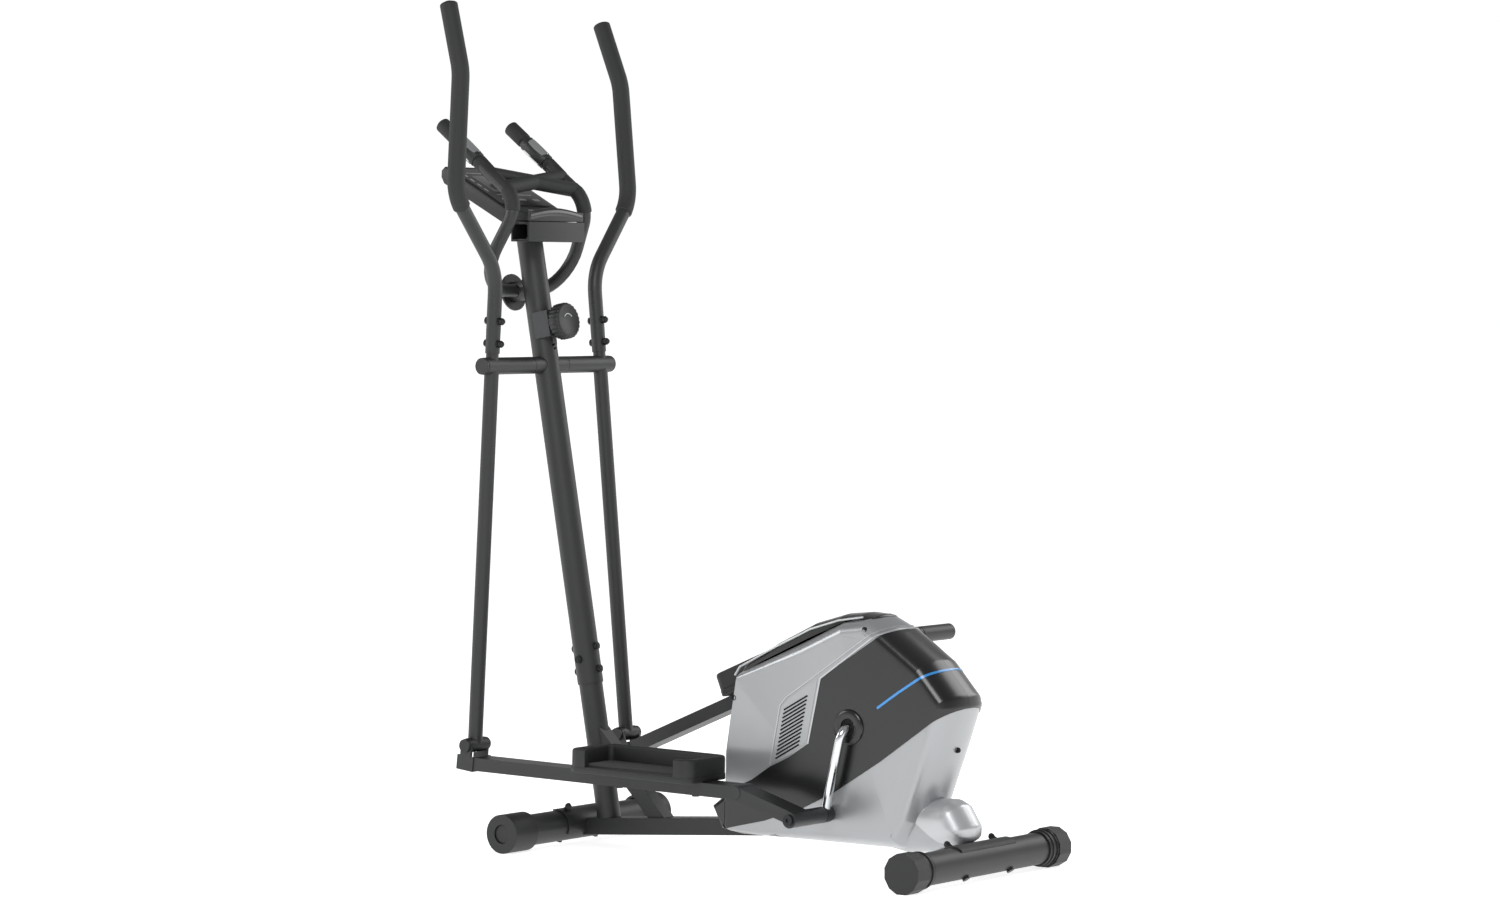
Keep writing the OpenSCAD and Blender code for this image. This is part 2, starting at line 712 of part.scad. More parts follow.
pedal_wall = 12;
pedal_in = 107;
corner_r = 20;
module pedal_outline(inset) {
    r = corner_r - inset;
    hull() for (x = [corner_r, pedal_l - corner_r], y = [corner_r, pedal_w - corner_r])
        translate([x, y]) circle(r = r, $fn = hull_fn);
}
module pedal(s) {
    base = rod_t / 2 - 0.5 + seat_gap;
    color(matte_black) on_tube(s)
        translate([pedal_start, s * (pedal_in - arm_y), base]) scale([1, s, 1]) difference() {
            linear_extrude(height = pedal_floor + pedal_h) pedal_outline(0);
            translate([0, 0, pedal_floor])
                linear_extrude(height = pedal_h + over) pedal_outline(pedal_wall);
            translate([44, pedal_w - pedal_wall - 8, pedal_floor])
                cube([pedal_l - 82, pedal_wall + 20, pedal_h + over]);
            for (x = pedal_bolt_x) translate([x - pedal_start, arm_y - pedal_in, -over])
                cylinder(d = bolt_d + 2 * seat_gap, h = 9);
        }
}
module pedal_left() {
    pedal(LEFT);
}
module pedal_right() {
    pedal(RIGHT);
}
// The bolts that hold a pedal belong with the pin of its front joint.
module clevis_pin(s) {
    out = clevis_in + clevis_ear;
    color(matte_black) {
        on_rod(s) {
            y_rod(pin_d / 2, -out, out);
            for (d = [-1, 1]) y_rod(12.5, d * (out + seat_gap / 2), d * (out + 6));
            for (d = [-1, 1]) y_rod(pin_d / 2 - 1, d * (out - over), d * (out + over));
        }
        on_tube(s) for (x = pedal_bolt_x) translate([x, 0, -rod_t / 2 + 0.5]) {
            translate([0, 0, -5 - seat_gap]) cylinder(r = 7, h = 5);
            translate([0, 0, -1]) cylinder(d = bolt_d, h = rod_t + 7);
        }
    }
}
module clevis_pin_left() {
    clevis_pin(LEFT);
}
module clevis_pin_right() {
    clevis_pin(RIGHT);
}
module crank_pin_bolt(s) {
    color(bright_steel) on_rod(s) translate([rod_len, 0, 0]) difference() {
        union() {
            y_rod(pin_d / 2, s * (bush_in - arm_y), s * (bush_out - arm_y));
            y_rod(10, s * (bush_out + seat_gap - arm_y), s * (bush_out + 5 - arm_y));
            y_rod(pin_d / 2 - 1, s * (bush_out - 1 - arm_y), s * (bush_out + 1 - arm_y));
        }
        translate([0, s * (bush_out + 5 - arm_y), 0]) rotate([90, 0, 0])
            cylinder(r = 4, h = 5, center = true, $fn = 6);
    }
}
module crank_pin_left() {
    crank_pin_bolt(LEFT);
}
module crank_pin_right() {
    crank_pin_bolt(RIGHT);
}

// ---- Crank and drive -------------------------------------------------------
module at_crank() {
    translate([crank_x, 0, crank_h]) children();
}
function crank_point(s, y) = [crank_pin(s)[0], s * y, crank_pin(s)[1]];
module crank() {
    in = crank_arm_y - crank_arm_t / 2;
    color(bright_steel) difference() {
        union() {
            at_crank() y_rod(crank_axle_d / 2, -60, 60);
            for (s = [LEFT, RIGHT]) {
                swept_bar(round_path([[crank_x, s * 50, crank_h],
                    [crank_x, s * crank_arm_y, crank_h],
                    crank_point(s, crank_arm_y)], [26], 6), crank_bar_r, 20);
                translate([crank_pin(s)[0], 0, crank_pin(s)[1]])
                    y_rod(bush_r, s * in, s * (in + crank_arm_t));
            }
        }
        for (s = [LEFT, RIGHT]) translate([crank_pin(s)[0], 0, crank_pin(s)[1]])
            y_rod(pin_d / 2, s * (in - over), s * (in + crank_arm_t + over));
    }
}
module crank_caps() {
    in = crank_arm_y - crank_arm_t / 2;
    color(matte_black) for (s = [LEFT, RIGHT])
        translate([crank_pin(s)[0], 0, crank_pin(s)[1]]) {
            y_rod(13.5, s * (in - seat_gap), s * (in - 7));
            y_rod(pin_d / 2 - seat_gap, s * (in - 1), s * (in + crank_arm_t - 1));
        }
}
module drive_pulley() {
    color(matte_black) at_crank() difference() {
        union() {
            y_rod(pulley_r, pulley_y - pulley_w / 2, pulley_y + pulley_w / 2);
            y_rod(24, pulley_y - pulley_w / 2 - 6, pulley_y + pulley_w / 2 + 3);
        }
        y_rod(crank_axle_d / 2 + run_gap, 0, 60);
        y_ring(pulley_r + over, pulley_r - 2, pulley_y - belt_w / 2 - 0.5,
            pulley_y + belt_w / 2 + 0.5);
        for (k = [0 : 4]) rotate([0, 72 * k, 0]) translate([72, 0, 0])
            y_rod(27, 0, 60);
    }
}
module belt_line(r1, r2) {
    hull() {
        translate([crank_x, crank_h]) circle(r = r1, $fn = 96);
        translate([flywheel_x, flywheel_h]) circle(r = r2, $fn = 32);
    }
}
module drive_belt() {
    track = 0.4;
    color(matte_black) side_plate(pulley_y - belt_w / 2, pulley_y + belt_w / 2) difference() {
        belt_line(pulley_r - 2 + track + belt_t, small_pulley_r + track + belt_t);
        belt_line(pulley_r - 2 + track, small_pulley_r + track);
    }
}
module crank_bearings() {
    color(bright_steel) at_crank() for (y = [-29, 17 - bearing_w + 2])
        y_ring(bearing_d / 2, crank_axle_d / 2 + run_gap, y, y + bearing_w);
}
module flywheel() {
    color("#6d7075") translate([flywheel_x, 0, flywheel_h]) {
        difference() {
            y_rod(flywheel_r, -flywheel_t / 2, flywheel_t / 2);
            y_ring(flywheel_r - 16, 26, flywheel_t / 2 - 7, flywheel_t);
            y_ring(flywheel_r - 16, 26, -flywheel_t, -flywheel_t / 2 + 7);
        }
        y_rod(flywheel_shaft_d / 2, -fork_in - fork_t - 6, pulley_y + pulley_w / 2 + 3);
        y_rod(small_pulley_r, pulley_y - belt_w / 2 - 1, pulley_y + belt_w / 2 + 1);
        for (d = [-1, 1]) translate([0, pulley_y + d * (belt_w / 2 + 1.5), 0])
            y_rod(small_pulley_r + 3, -1, 1);
    }
}
module magnet_bracket() {
    in = flywheel_r + magnet_gap;
    color("#8d9095") difference() {
        union() {
            side_plate(-12, 12) {
                intersection() {
                    translate([flywheel_x, flywheel_h]) difference() {
                        circle(r = in + magnet_t);
                        circle(r = in);
                    }
                    translate([flywheel_x, flywheel_h])
                        polygon([[0, 0], [90, 160], [-100, 160], [-130, 125]]);
                }
                intersection() {
                    hull() {
                        translate(magnet_pivot) circle(r = 9, $fn = hull_fn);
                        translate([flywheel_x, flywheel_h])
                            rotate(122) translate([in + magnet_t, 0]) circle(r = 5, $fn = hull_fn);
                    }
                    difference() {
                        square(1000);
                        translate([flywheel_x, flywheel_h]) circle(r = in);
                    }
                }
            }
            translate([magnet_pivot[0], 0, magnet_pivot[1]])
                y_rod(magnet_pin_d / 2, -fork_in - fork_t - 3, fork_in + fork_t + 3);
        }
    }
}
// Bearing post and the two fork plates that carry flywheel and magnets.
module drive_mount() {
    foot = beam_z(flywheel_x);
    color(black_steel) {
        difference() {
            union() {
                at_crank() y_rod(bearing_shell_d / 2, -30, 20);
                above_beam() translate([crank_x - 20, -18, foot - 20])
                    cube([40, 36, crank_h - foot + 20]);
            }
            at_crank() y_rod(bearing_d / 2, -40, 40);
            translate([crank_x - 17, -15, foot - 40]) cube([34, 30, crank_h - foot + 10]);
        }
        for (d = [-1, 1]) difference() {
            side_plate(d * (fork_in + seat_gap), d * (fork_in + fork_t)) {
                hull() {
                    translate([flywheel_x, flywheel_h]) circle(r = 18, $fn = hull_fn);
                    translate([flywheel_x - 32, foot - 8]) square([64, 10]);
                }
                hull() {
                    translate([flywheel_x, flywheel_h]) circle(r = 18, $fn = hull_fn);
                    translate(magnet_pivot) circle(r = 13, $fn = hull_fn);
                }
            }
            translate([flywheel_x, 0, flywheel_h])
                y_rod(flywheel_shaft_d / 2 + run_gap, -60, 60);
            translate([magnet_pivot[0], 0, magnet_pivot[1]])
                y_rod(magnet_pin_d / 2 + run_gap, -60, 60);
        }
    }
}

// ---- Housing ---------------------------------------------------------------
shell_core = 32;
shell_inset = 26;
main_outline = [[470, 52], [548, 47], [873, 46], [905, 95], [962, 244], [985, 310],
    [980, 331], [925, 392], [838, 451], [797, 472], [737, 471], [485, 364], [473, 204]];
nose_outline = [[434, 102], [461, 53], [500, 47], [560, 47], [560, 130], [470, 160]];
tail_outline = [[840, 52], [873, 46], [940, 58], [958, 78], [915, 145], [840, 150]];

// Body with rounded flanks: full outline in the middle, smaller at the sides.
module form(outline, grow, half, inset) {
    hull() {
        side_plate(-shell_core - grow, shell_core + grow)
            offset(delta = grow) polygon(outline);
        side_plate(-half - grow, half + grow)
            offset(delta = grow - inset) polygon(outline);
    }
}
module main_form(grow) {
    form(main_outline, grow, shell_half, shell_inset);
}
module drive_cuts() {
    at_crank() y_rod(boss_hole_r, -shell_half - 20, shell_half + 20);
    beam_box(seat_gap);
    tail_box(seat_gap);
}
module shell(s) {
    color(silver_plastic) difference() {
        intersection() {
            main_form(0);
            translate([0, s * 0.1 + (s < 0 ? -200 : 0), 0]) cube([1100, 200, 600]);
        }
        main_form(-shell_wall);
        drive_cuts();
    }
}
module shell_left() {
    shell(LEFT);
}
module shell_right() {
    shell(RIGHT);
}
panel_outline = [[821, 427], [700, 354], [678, 246], [667, 230], [590, 189], [535, 156],
    [720, 148], [955, 305], [1010, 345], [1010, 420], [886, 475]];
// Each panel carries a raised ring where the crank comes out.
module panel(s) {
    color(gloss_black) difference() {
        union() {
            intersection() {
                main_form(panel_t);
                side_plate(s * (shell_core + 4), s * 120) polygon(panel_outline);
            }
            at_crank() y_rod(boss_hole_r + 5, s * (shell_half - 3), s * (shell_half + 5));
        }
        main_form(seat_gap / 2);
        at_crank() y_rod(ring_hole_r, 0, s * 120);
    }
}
module panel_left() {
    panel(LEFT);
}
module panel_right() {
    panel(RIGHT);
}
module top_cover() {
    color(gloss_black) difference() {
        intersection() {
            main_form(panel_t);
            side_plate(-shell_core, shell_core)
                polygon([[487, 330], [560, 330], [740, 440], [812, 440], [812, 490], [487, 490]]);
        }
        main_form(seat_gap / 2);
    }
}
module nose_cover() {
    color(gloss_black) difference() {
        form(nose_outline, 0, 62, 12);
        form(nose_outline, -shell_wall, 62, 12);
        main_form(seat_gap);
        drive_cuts();
    }
}
module tail_fairing() {
    color(silver_plastic) difference() {
        form(tail_outline, 0, 58, 12);
        form(tail_outline, -shell_wall, 58, 12);
        main_form(seat_gap);
        drive_cuts();
    }
}

// ---- Fixed handlebar -------------------------------------------------------
clamp_x = mast_x(clamp_h) - (mast_d / 2) / cos(mast_lean) - bar_d / 2 - 2;
function bar_half(s) = [across(bar_tip, s), across(bar_bend, s),
    [clamp_x, s * bar_low_y, clamp_h]];
bar_path = round_path(concat(bar_half(LEFT), [for (i = [2 : -1 : 0]) bar_half(RIGHT)[i]]),
    [55, 80, 80, 55], 7);
module fixed_handlebar() {
    color(black_steel) swept_tube(bar_path, bar_d / 2, bar_d / 2 - 2, 16);
}
function bar_at(s, d) = across(bar_tip + d * bar_run, s);
module fixed_grips() {
    color(foam_black) for (s = [LEFT, RIGHT]) difference() {
        union() {
            strut(bar_at(s, 0), bar_at(s, 50), bar_grip_d / 2);
            strut(bar_at(s, 0), bar_at(s, -grip_nose), bar_grip_d / 2, grip_nose_r);
        }
        strut(bar_at(s, -0.5), bar_at(s, 60), bar_d / 2 + seat_gap);
    }
}
module pulse_sensors() {
    color(bright_steel) for (s = [LEFT, RIGHT]) difference() {
        strut(bar_at(s, 56), bar_at(s, 150), bar_grip_d / 2 + 1);
        strut(bar_at(s, 40), bar_at(s, 160), bar_d / 2 + seat_gap);
    }
}
module at_clamp() {
    translate([clamp_x, 0, clamp_h]) rotate([0, -90 - mast_lean, 0]) children();
}
module handlebar_clamp() {
    color(black_steel) difference() {
        at_clamp() translate([0, 0, -mast_d / 2 - 6])
            cylinder(r = 20, h = mast_d / 2 + 10 + bar_d / 2);
        translate([clamp_x, 0, clamp_h]) y_rod(bar_d / 2 + seat_gap, -100, 100);
        on_mast(clamp_h - 100) cylinder(d = mast_d + 2 * seat_gap, h = 250);
    }
}
module clamp_cover() {
    color(matte_black) at_clamp() translate([0, 0, bar_d / 2 + 4 + seat_gap]) {
        cylinder(r = 36, h = 4);
        cylinder(r = 30, h = 7);
    }
}

// ---- Console ---------------------------------------------------------------
tray_top = pivot_h + 276.8;
face_foot = [-30, tray_top + 23];
face_top = face_foot + console_l * [-cos(console_slope), sin(console_slope)];
case_rear_x = 24;
case_outline = [[case_rear_x, tray_top + 0.2], [case_rear_x, tray_top + 18], face_foot,
    face_top, face_top + [-8, -7], face_top + [-9, -20], face_top + [-2, -33],
    [-36, tray_top - 5], [-20.5, tray_top + 0.2]];
module console_case() {
    color(matte_black) difference() {
        side_plate(-console_w / 2, console_w / 2) polygon(case_outline);
        side_plate(-console_w / 2 + 4, console_w / 2 - 4) offset(delta = -5) polygon(case_outline);
        on_mast(tray_top - 45) cylinder(d = mast_d + 2 * seat_gap, h = 64);
        face_frame() translate([console_l * 0.12, -lens_half, -6])
            cube([console_l * 0.76, 2 * lens_half, 20]);
        for (y = button_y) button_place(y) cylinder(r = button_r + 0.3, h = 60, center = true);
    }
}
// Frame on the console's face: x up the slope, z out of the face.
module face_frame() {
    translate([face_foot[0], 0, face_foot[1]]) rotate([0, console_slope, 0])
        rotate([0, 0, 180]) children();
}
module console_lens() {
    color(gloss_black) face_frame()
        translate([console_l * 0.12 + 0.3, 0.3 - lens_half, -4.9])
            cube([console_l * 0.76 - 0.6, 2 * lens_half - 0.6, 5.5]);
}
lens_half = console_w / 2 - 15;
button_y = [-40, 40];
button_r = 8;
module button_place(y) {
    v = face_foot - [case_rear_x, tray_top + 18];
    translate([case_rear_x + v[0] / 2, y, tray_top + 18 + v[1] / 2])
        rotate([0, atan2(v[1], -v[0]), 0]) children();
}
module button(y) {
    color(bright_steel) button_place(y) {
        translate([0, 0, -6]) cylinder(r = button_r, h = 8);
        translate([0, 0, -9.4]) cylinder(r = button_r + 2, h = 4.2);
    }
}
module button_mode() {
    button(button_y[0]);
}
module button_reset() {
    button(button_y[1]);
}
module console_tray() {
    color(matte_black) difference() {
        translate([-20, -console_w / 2, tray_top - 40.8])
            cube([case_rear_x + 22, console_w, 40.8]);
        translate([-16, -console_w / 2 - over, tray_top - 35.8])
            cube([case_rear_x + 14, console_w + 2 * over, 31]);
        on_mast(tray_top - 75) cylinder(d = mast_d + 2 * seat_gap, h = 100);
    }
}

// ---- Tension control -------------------------------------------------------
saddle_l = 51;
knob_x = mast_d / 2 + 14;
module tension_saddle() {
    color(bright_steel) on_mast(knob_h) difference() {
        translate([2, -26, -saddle_l / 2]) cube([knob_x - 2, 52, saddle_l]);
        translate([0, 0, -100]) cylinder(d = mast_d + 2 * seat_gap, h = 200);
        translate([5, 0, -saddle_l / 2 - over]) cylinder(r = 6, h = 20);
        rotate([0, 90, 0]) cylinder(r = 5 + run_gap, h = knob_x + over);
        translate([mast_d / 2, -4, -saddle_l / 2 - over]) cube([9, 8, 14]);
    }
}
module tension_knob() {
    color(matte_black) on_mast(knob_h) rotate([0, 90, 0]) difference() {
        union() {
            translate([0, 0, knob_x - 8]) cylinder(r = 5, h = 12);
            translate([0, 0, knob_x + 0.5]) cylinder(r = knob_d / 2 - 8, h = 8);
            translate([0, 0, knob_x + 7]) cylinder(d = knob_d, h = knob_t);
        }
        for (k = [0 : 23]) rotate([0, 0, 15 * k]) translate([knob_d / 2 + 2, 0, knob_x])
            cylinder(r = 3.5, h = knob_t + 10, $fn = 16);
    }
}
cable_r = 2.5;
cable_hole_r = 6;
cable_out = 30;
cable_in = 20;
cable_gate_h = knob_h - 43;
// Offset of the cable from the mast's axis, which keeps it clear of the bolts.
cable_off = 9;
cable_down = [mast_x(60) + cable_off, cable_off, beam_z(mast_x(60) + cable_off) + beam_t / 2 - 4];
cable_up = [500, 12, beam_z(500) + beam_t / 2 - 4];
cable_route = [
    mast_at(knob_h - 18, cable_out),
    mast_at(cable_gate_h, cable_out),
    mast_at(cable_gate_h, cable_in),
    mast_at(pivot_h - 26, cable_in),
    mast_at(pivot_h - 80, cable_off, cable_off),
    mast_at(110, cable_off, cable_off),
    [cable_down[0], cable_down[1], cable_down[2] + 20],
    [cable_down[0], cable_down[1], beam_z(cable_down[0])],
    [cable_up[0], cable_up[1], beam_z(cable_up[0])],
    cable_up + [0, 0, 30],
    [magnet_pivot[0] - 20, 0, magnet_pivot[1] - 30],
    [magnet_pivot[0] - 12, 0, magnet_pivot[1] + 10]];
module tension_cable() {
    color(matte_black) swept_bar(round_path(cable_route,
        [4.8, 4.8, 30, 30, 10, 10, 8, 8, 25, 12], 4), cable_r, 8);
}

// ---- Drawing ---------------------------------------------------------------
centred() base_beam();
centred() lower_post();
centred() post_brace();
centred() mast();
centred() mast_bolts();
centred() front_stabiliser();
centred() front_axle_plugs();
centred() rear_stabiliser();
centred() levelling_sleeves();
centred() stabiliser_bolts();
centred() drive_mount();
centred() crank_bearings();
centred() drive_belt();
centred() pivot_axle();
centred() pivot_collar();
centred() handlebar_clamp();
centred() clamp_cover();
centred() fixed_handlebar();
centred() fixed_grips();
centred() pulse_sensors();
centred() console_case();
centred() console_lens();
centred() console_tray();
centred() tension_saddle();
centred() tension_cable();
centred() shell_left();
centred() shell_right();
centred() panel_left();
centred() panel_right();
centred() top_cover();
centred() nose_cover();
centred() tail_fairing();
centred() tension_knob();
centred() magnet_bracket();
centred() front_roller_left();
centred() front_roller_right();
centred() levelling_cap_left();
centred() levelling_cap_right();
centred() button_mode();
centred() button_reset();
centred() flywheel();
centred() crank();
centred() drive_pulley();
centred() crank_caps();
centred() swing_arm_left();
centred() swing_arm_right();
centred() handlebar_left();
centred() handlebar_right();
centred() grip_left();
centred() grip_right();
centred() handle_bolts_left();
centred() handle_bolts_right();
centred() pedal_arm_left();
centred() pedal_arm_right();
centred() pedal_left();
centred() pedal_right();
centred() clevis_pin_left();
centred() clevis_pin_right();
centred() crank_pin_left();
centred() crank_pin_right();
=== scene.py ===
"""Elliptical trainer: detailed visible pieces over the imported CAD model.

Every sub-assembly is a class whose fields hold its sizes. Lengths in the
classes are millimetres measured from the handlebar pivot in x and from the
floor in z; `Linkage.at` turns them into metres in the row frame.
"""

import logging
import math
from dataclasses import dataclass, field
from enum import Enum
from typing import Callable, Sequence

import bmesh
import bpy
import numpy as np
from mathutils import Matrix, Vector
from mathutils.geometry import delaunay_2d_cdt


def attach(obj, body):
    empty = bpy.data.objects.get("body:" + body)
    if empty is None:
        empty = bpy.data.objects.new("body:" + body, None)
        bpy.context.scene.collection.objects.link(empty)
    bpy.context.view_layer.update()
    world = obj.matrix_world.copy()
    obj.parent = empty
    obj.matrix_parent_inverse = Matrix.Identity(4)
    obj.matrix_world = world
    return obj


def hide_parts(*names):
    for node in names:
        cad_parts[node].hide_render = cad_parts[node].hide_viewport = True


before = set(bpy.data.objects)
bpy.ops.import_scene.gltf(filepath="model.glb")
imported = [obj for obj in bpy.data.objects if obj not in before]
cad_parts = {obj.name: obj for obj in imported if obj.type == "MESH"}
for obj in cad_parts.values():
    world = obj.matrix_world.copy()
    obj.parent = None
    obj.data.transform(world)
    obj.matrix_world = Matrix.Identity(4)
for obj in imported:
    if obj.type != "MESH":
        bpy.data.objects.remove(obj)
log = logging.getLogger("trainer")
MM = 0.001
Point = Sequence[float]


class Side(Enum):
    """Side of the machine, seen by the user; the value is the sign of y."""

    LEFT = -1
    RIGHT = 1

    @property
    def tag(self) -> str:
        """Name of the side as the CAD nodes spell it."""
        return self.name.lower()


def linear(hex_code: str) -> tuple[float, float, float, float]:
    """Turns an sRGB hex colour into linear RGBA.

    Args:
        hex_code: Colour such as "#2b2c2e".

    Returns:
        Linear red, green, blue and alpha 1.
    """
    raw = [int(hex_code[i : i + 2], 16) / 255 for i in (1, 3, 5)]
    rgb = [c / 12.92 if c <= 0.04045 else ((c + 0.055) / 1.055) ** 2.4 for c in raw]
    return (rgb[0], rgb[1], rgb[2], 1.0)


@dataclass(frozen=True)
class Finish:
    """One real surface finish and the shader that stands for it."""

    name: str
    colour: str
    roughness: float
    metallic: float = 0.0
    coat: float = 0.0
    grain_mm: float = 0.0
    grain_depth: float = 0.0
    mottle: float = 0.0
    edge_mm: float = 0.0

    def material(self) -> bpy.types.Material:
        """Builds the material once and returns it on every call."""
        found = bpy.data.materials.get(self.name)
        if found:
            return found
        mat = bpy.data.materials.new(self.name)
        mat.use_nodes = True
        tree = mat.node_tree
        shader = tree.nodes["Principled BSDF"]
        shader.inputs["Base Color"].default_value = linear(self.colour)
        shader.inputs["Roughness"].default_value = self.roughness
        shader.inputs["Metallic"].default_value = self.metallic
        shader.inputs["Coat Weight"].default_value = self.coat
        shader.inputs["Coat Roughness"].default_value = 0.2
        coords = tree.nodes.new("ShaderNodeTexCoord")
        normal = None
        if self.edge_mm:
            bevel = tree.nodes.new("ShaderNodeBevel")
            bevel.samples = 4
            bevel.inputs["Radius"].default_value = self.edge_mm * MM
            normal = bevel.outputs["Normal"]
        if self.grain_mm:
            grain = tree.nodes.new("ShaderNodeTexNoise")
            grain.inputs["Scale"].default_value = 1000.0 / self.grain_mm
            grain.inputs["Detail"].default_value = 2.0
            tree.links.new(coords.outputs["Object"], grain.inputs["Vector"])
            bump = tree.nodes.new("ShaderNodeBump")
            bump.inputs["Strength"].default_value = self.grain_depth
            bump.inputs["Distance"].default_value = 0.0002
            tree.links.new(grain.outputs["Fac"], bump.inputs["Height"])
            if normal:
                tree.links.new(normal, bump.inputs["Normal"])
            normal = bump.outputs["Normal"]
        if normal:
            tree.links.new(normal, shader.inputs["Normal"])
        if self.mottle:
            cloud = tree.nodes.new("ShaderNodeTexNoise")
            cloud.inputs["Scale"].default_value = 14.0
            cloud.inputs["Detail"].default_value = 3.0
            tree.links.new(coords.outputs["Object"], cloud.inputs["Vector"])
            spread = tree.nodes.new("ShaderNodeMapRange")
            spread.inputs["To Min"].default_value = self.roughness - self.mottle
            spread.inputs["To Max"].default_value = self.roughness + self.mottle
            tree.links.new(cloud.outputs["Fac"], spread.inputs["Value"])
            tree.links.new(spread.outputs["Result"], shader.inputs["Roughness"])
        return mat


# Powder-coated steel tube: dark grey, satin, a fine orange-peel texture.
POWDER_COAT = Finish("powder_coated_steel", "#242526", 0.45, grain_mm=1.2, grain_depth=0.10,
                     mottle=0.03, edge_mm=0.8)
# The same powder coat as the tubes, painted lighter on the bracket: painted light for its flat faces
# catching more light.
POWDER_COAT_PAINTED_LIGHTER = Finish("powder_coated_bracket", "#333436", 0.42, grain_mm=1.2, grain_depth=0.10,
                      edge_mm=0.8)
# Closed-cell foam sleeve.
FOAM = Finish("nbr_foam", "#1f2021", 0.7, grain_mm=0.9, grain_depth=0.25)
# Black injection-moulded plastic with a spark-eroded grain.
GRAINED_BLACK = Finish("grained_black_abs", "#1b1c1d", 0.5, grain_mm=0.7, grain_depth=0.25,
                       edge_mm=0.8)
# High-gloss black plastic panels.
GLOSS_BLACK = Finish("gloss_black_abs", "#08090a", 0.28, coat=0.3)
# Silver-grey painted plastic, slightly pearlescent.
SILVER = Finish("silver_painted_abs", "#a4a6a8", 0.32, metallic=0.6, coat=0.2,
                grain_mm=0.5, grain_depth=0.03)
# The same silver paint made lighter: painted highlight on the tail fairing's lip, the trim ribs and
# the spine rim.
SILVER_PAINTED_HIGHLIGHT = Finish("bright_silver_trim", "#c0c2c4", 0.34, metallic=0.6, coat=0.3)
# Chrome plating: a mirror with faint blur.
CHROME = Finish("chrome_plated_steel", "#d4d6d8", 0.08, metallic=1.0)
# Brushed stainless strip of the pulse plates.
STAINLESS = Finish("stainless_plate", "#c8cacc", 0.2, metallic=1.0)
# Blackened zinc on bolts: dull dark metal.
ZINC_BLACK = Finish("black_zinc_fastener", "#2a2b2d", 0.35, metallic=0.6, edge_mm=0.4)
# Bare turned steel.
BRIGHT_STEEL = Finish("bright_steel", "#a2a5a9", 0.3, metallic=1.0, edge_mm=0.4)
# Machined cast iron: grey, slightly open grain.
CAST_IRON = Finish("machined_cast_iron", "#5f6266", 0.45, metallic=0.8, grain_mm=1.0,
                   grain_depth=0.2)
# Moulded rubber: matte and nearly black.
RUBBER = Finish("black_rubber", "#171718", 0.7)
# Blue adhesive film under a clear layer.
BLUE_TRIM = Finish("blue_film_stripe", "#2b86cc", 0.25, coat=0.6)
# Near-black painted shade for the inside of deep slots and screw wells.
PAINTED_SHADE_BLACK = Finish("unlit_recess", "#050505", 0.9)
# Liquid-crystal window, switched off.
LCD = Finish("lcd_window", "#1d2320", 0.1, coat=1.0)
# Pad-printed grey marks.
PRINT_GREY = Finish("printed_grey_mark", "#b4b7ba", 0.5)


def finished(obj: bpy.types.Object, finish: Finish, angle: float = 35.0) -> bpy.types.Object:
    """Gives an object one finish and smooth shading with sharp corners kept.

    Args:
        obj: Mesh object.
        finish: Finish of the whole object.
        angle: Corners sharper than this, in degrees, stay sharp.

    Returns:
        The same object.
    """
    obj.data.materials.clear()
    obj.data.materials.append(finish.material())
    obj.data.polygons.foreach_set("material_index", [0] * len(obj.data.polygons))
    obj.data.polygons.foreach_set("use_smooth", [True] * len(obj.data.polygons))
    obj.data.set_sharp_from_angle(angle=math.radians(angle))
    return obj


def mesh_object(name: str, verts: Sequence[Point], faces: Sequence[Sequence[int]],
                finish: Finish, angle: float = 35.0) -> bpy.types.Object:
    """Makes a closed, outward-facing mesh object from points in metres.

    Args:
        name: Object name.
        verts: Points in the row frame.
        faces: Vertex numbers of each face.
        finish: Finish of the whole object.
        angle: Smooth-shading limit in degrees.

    Returns:
        The new object, linked to the scene.
    """
    mesh = bpy.data.meshes.new(name)
    mesh.from_pydata([tuple(v) for v in verts], [], [tuple(f) for f in faces])
    shape = bmesh.new()
    shape.from_mesh(mesh)
    bmesh.ops.remove_doubles(shape, verts=shape.verts, dist=1e-6)
    bmesh.ops.recalc_face_normals(shape, faces=shape.faces)
    if shape.calc_volume(signed=True) < 0:
        bmesh.ops.reverse_faces(shape, faces=shape.faces)
    shape.to_mesh(mesh)
    shape.free()
    obj = bpy.data.objects.new(name, mesh)
    bpy.context.scene.collection.objects.link(obj)
    return finished(obj, finish, angle)


def joined(name: str, parts: Sequence[bpy.types.Object], finish: Finish,
           angle: float = 35.0) -> bpy.types.Object:
    """Joins mesh objects into one new object and removes the originals.

    Args:
        name: Name of the result.
        parts: Objects at the origin, unrotated and unscaled.
        finish: Finish of the result.
        angle: Smooth-shading limit in degrees.

    Returns:
        The joined object.
    """
    verts: list[Point] = []
    faces: list[list[int]] = []
    for part in parts:
        base = len(verts)
        verts += [tuple(v.co) for v in part.data.vertices]
        faces += [[base + i for i in p.vertices] for p in part.data.polygons]
        bpy.data.objects.remove(part)
    return mesh_object(name, verts, faces, finish, angle)


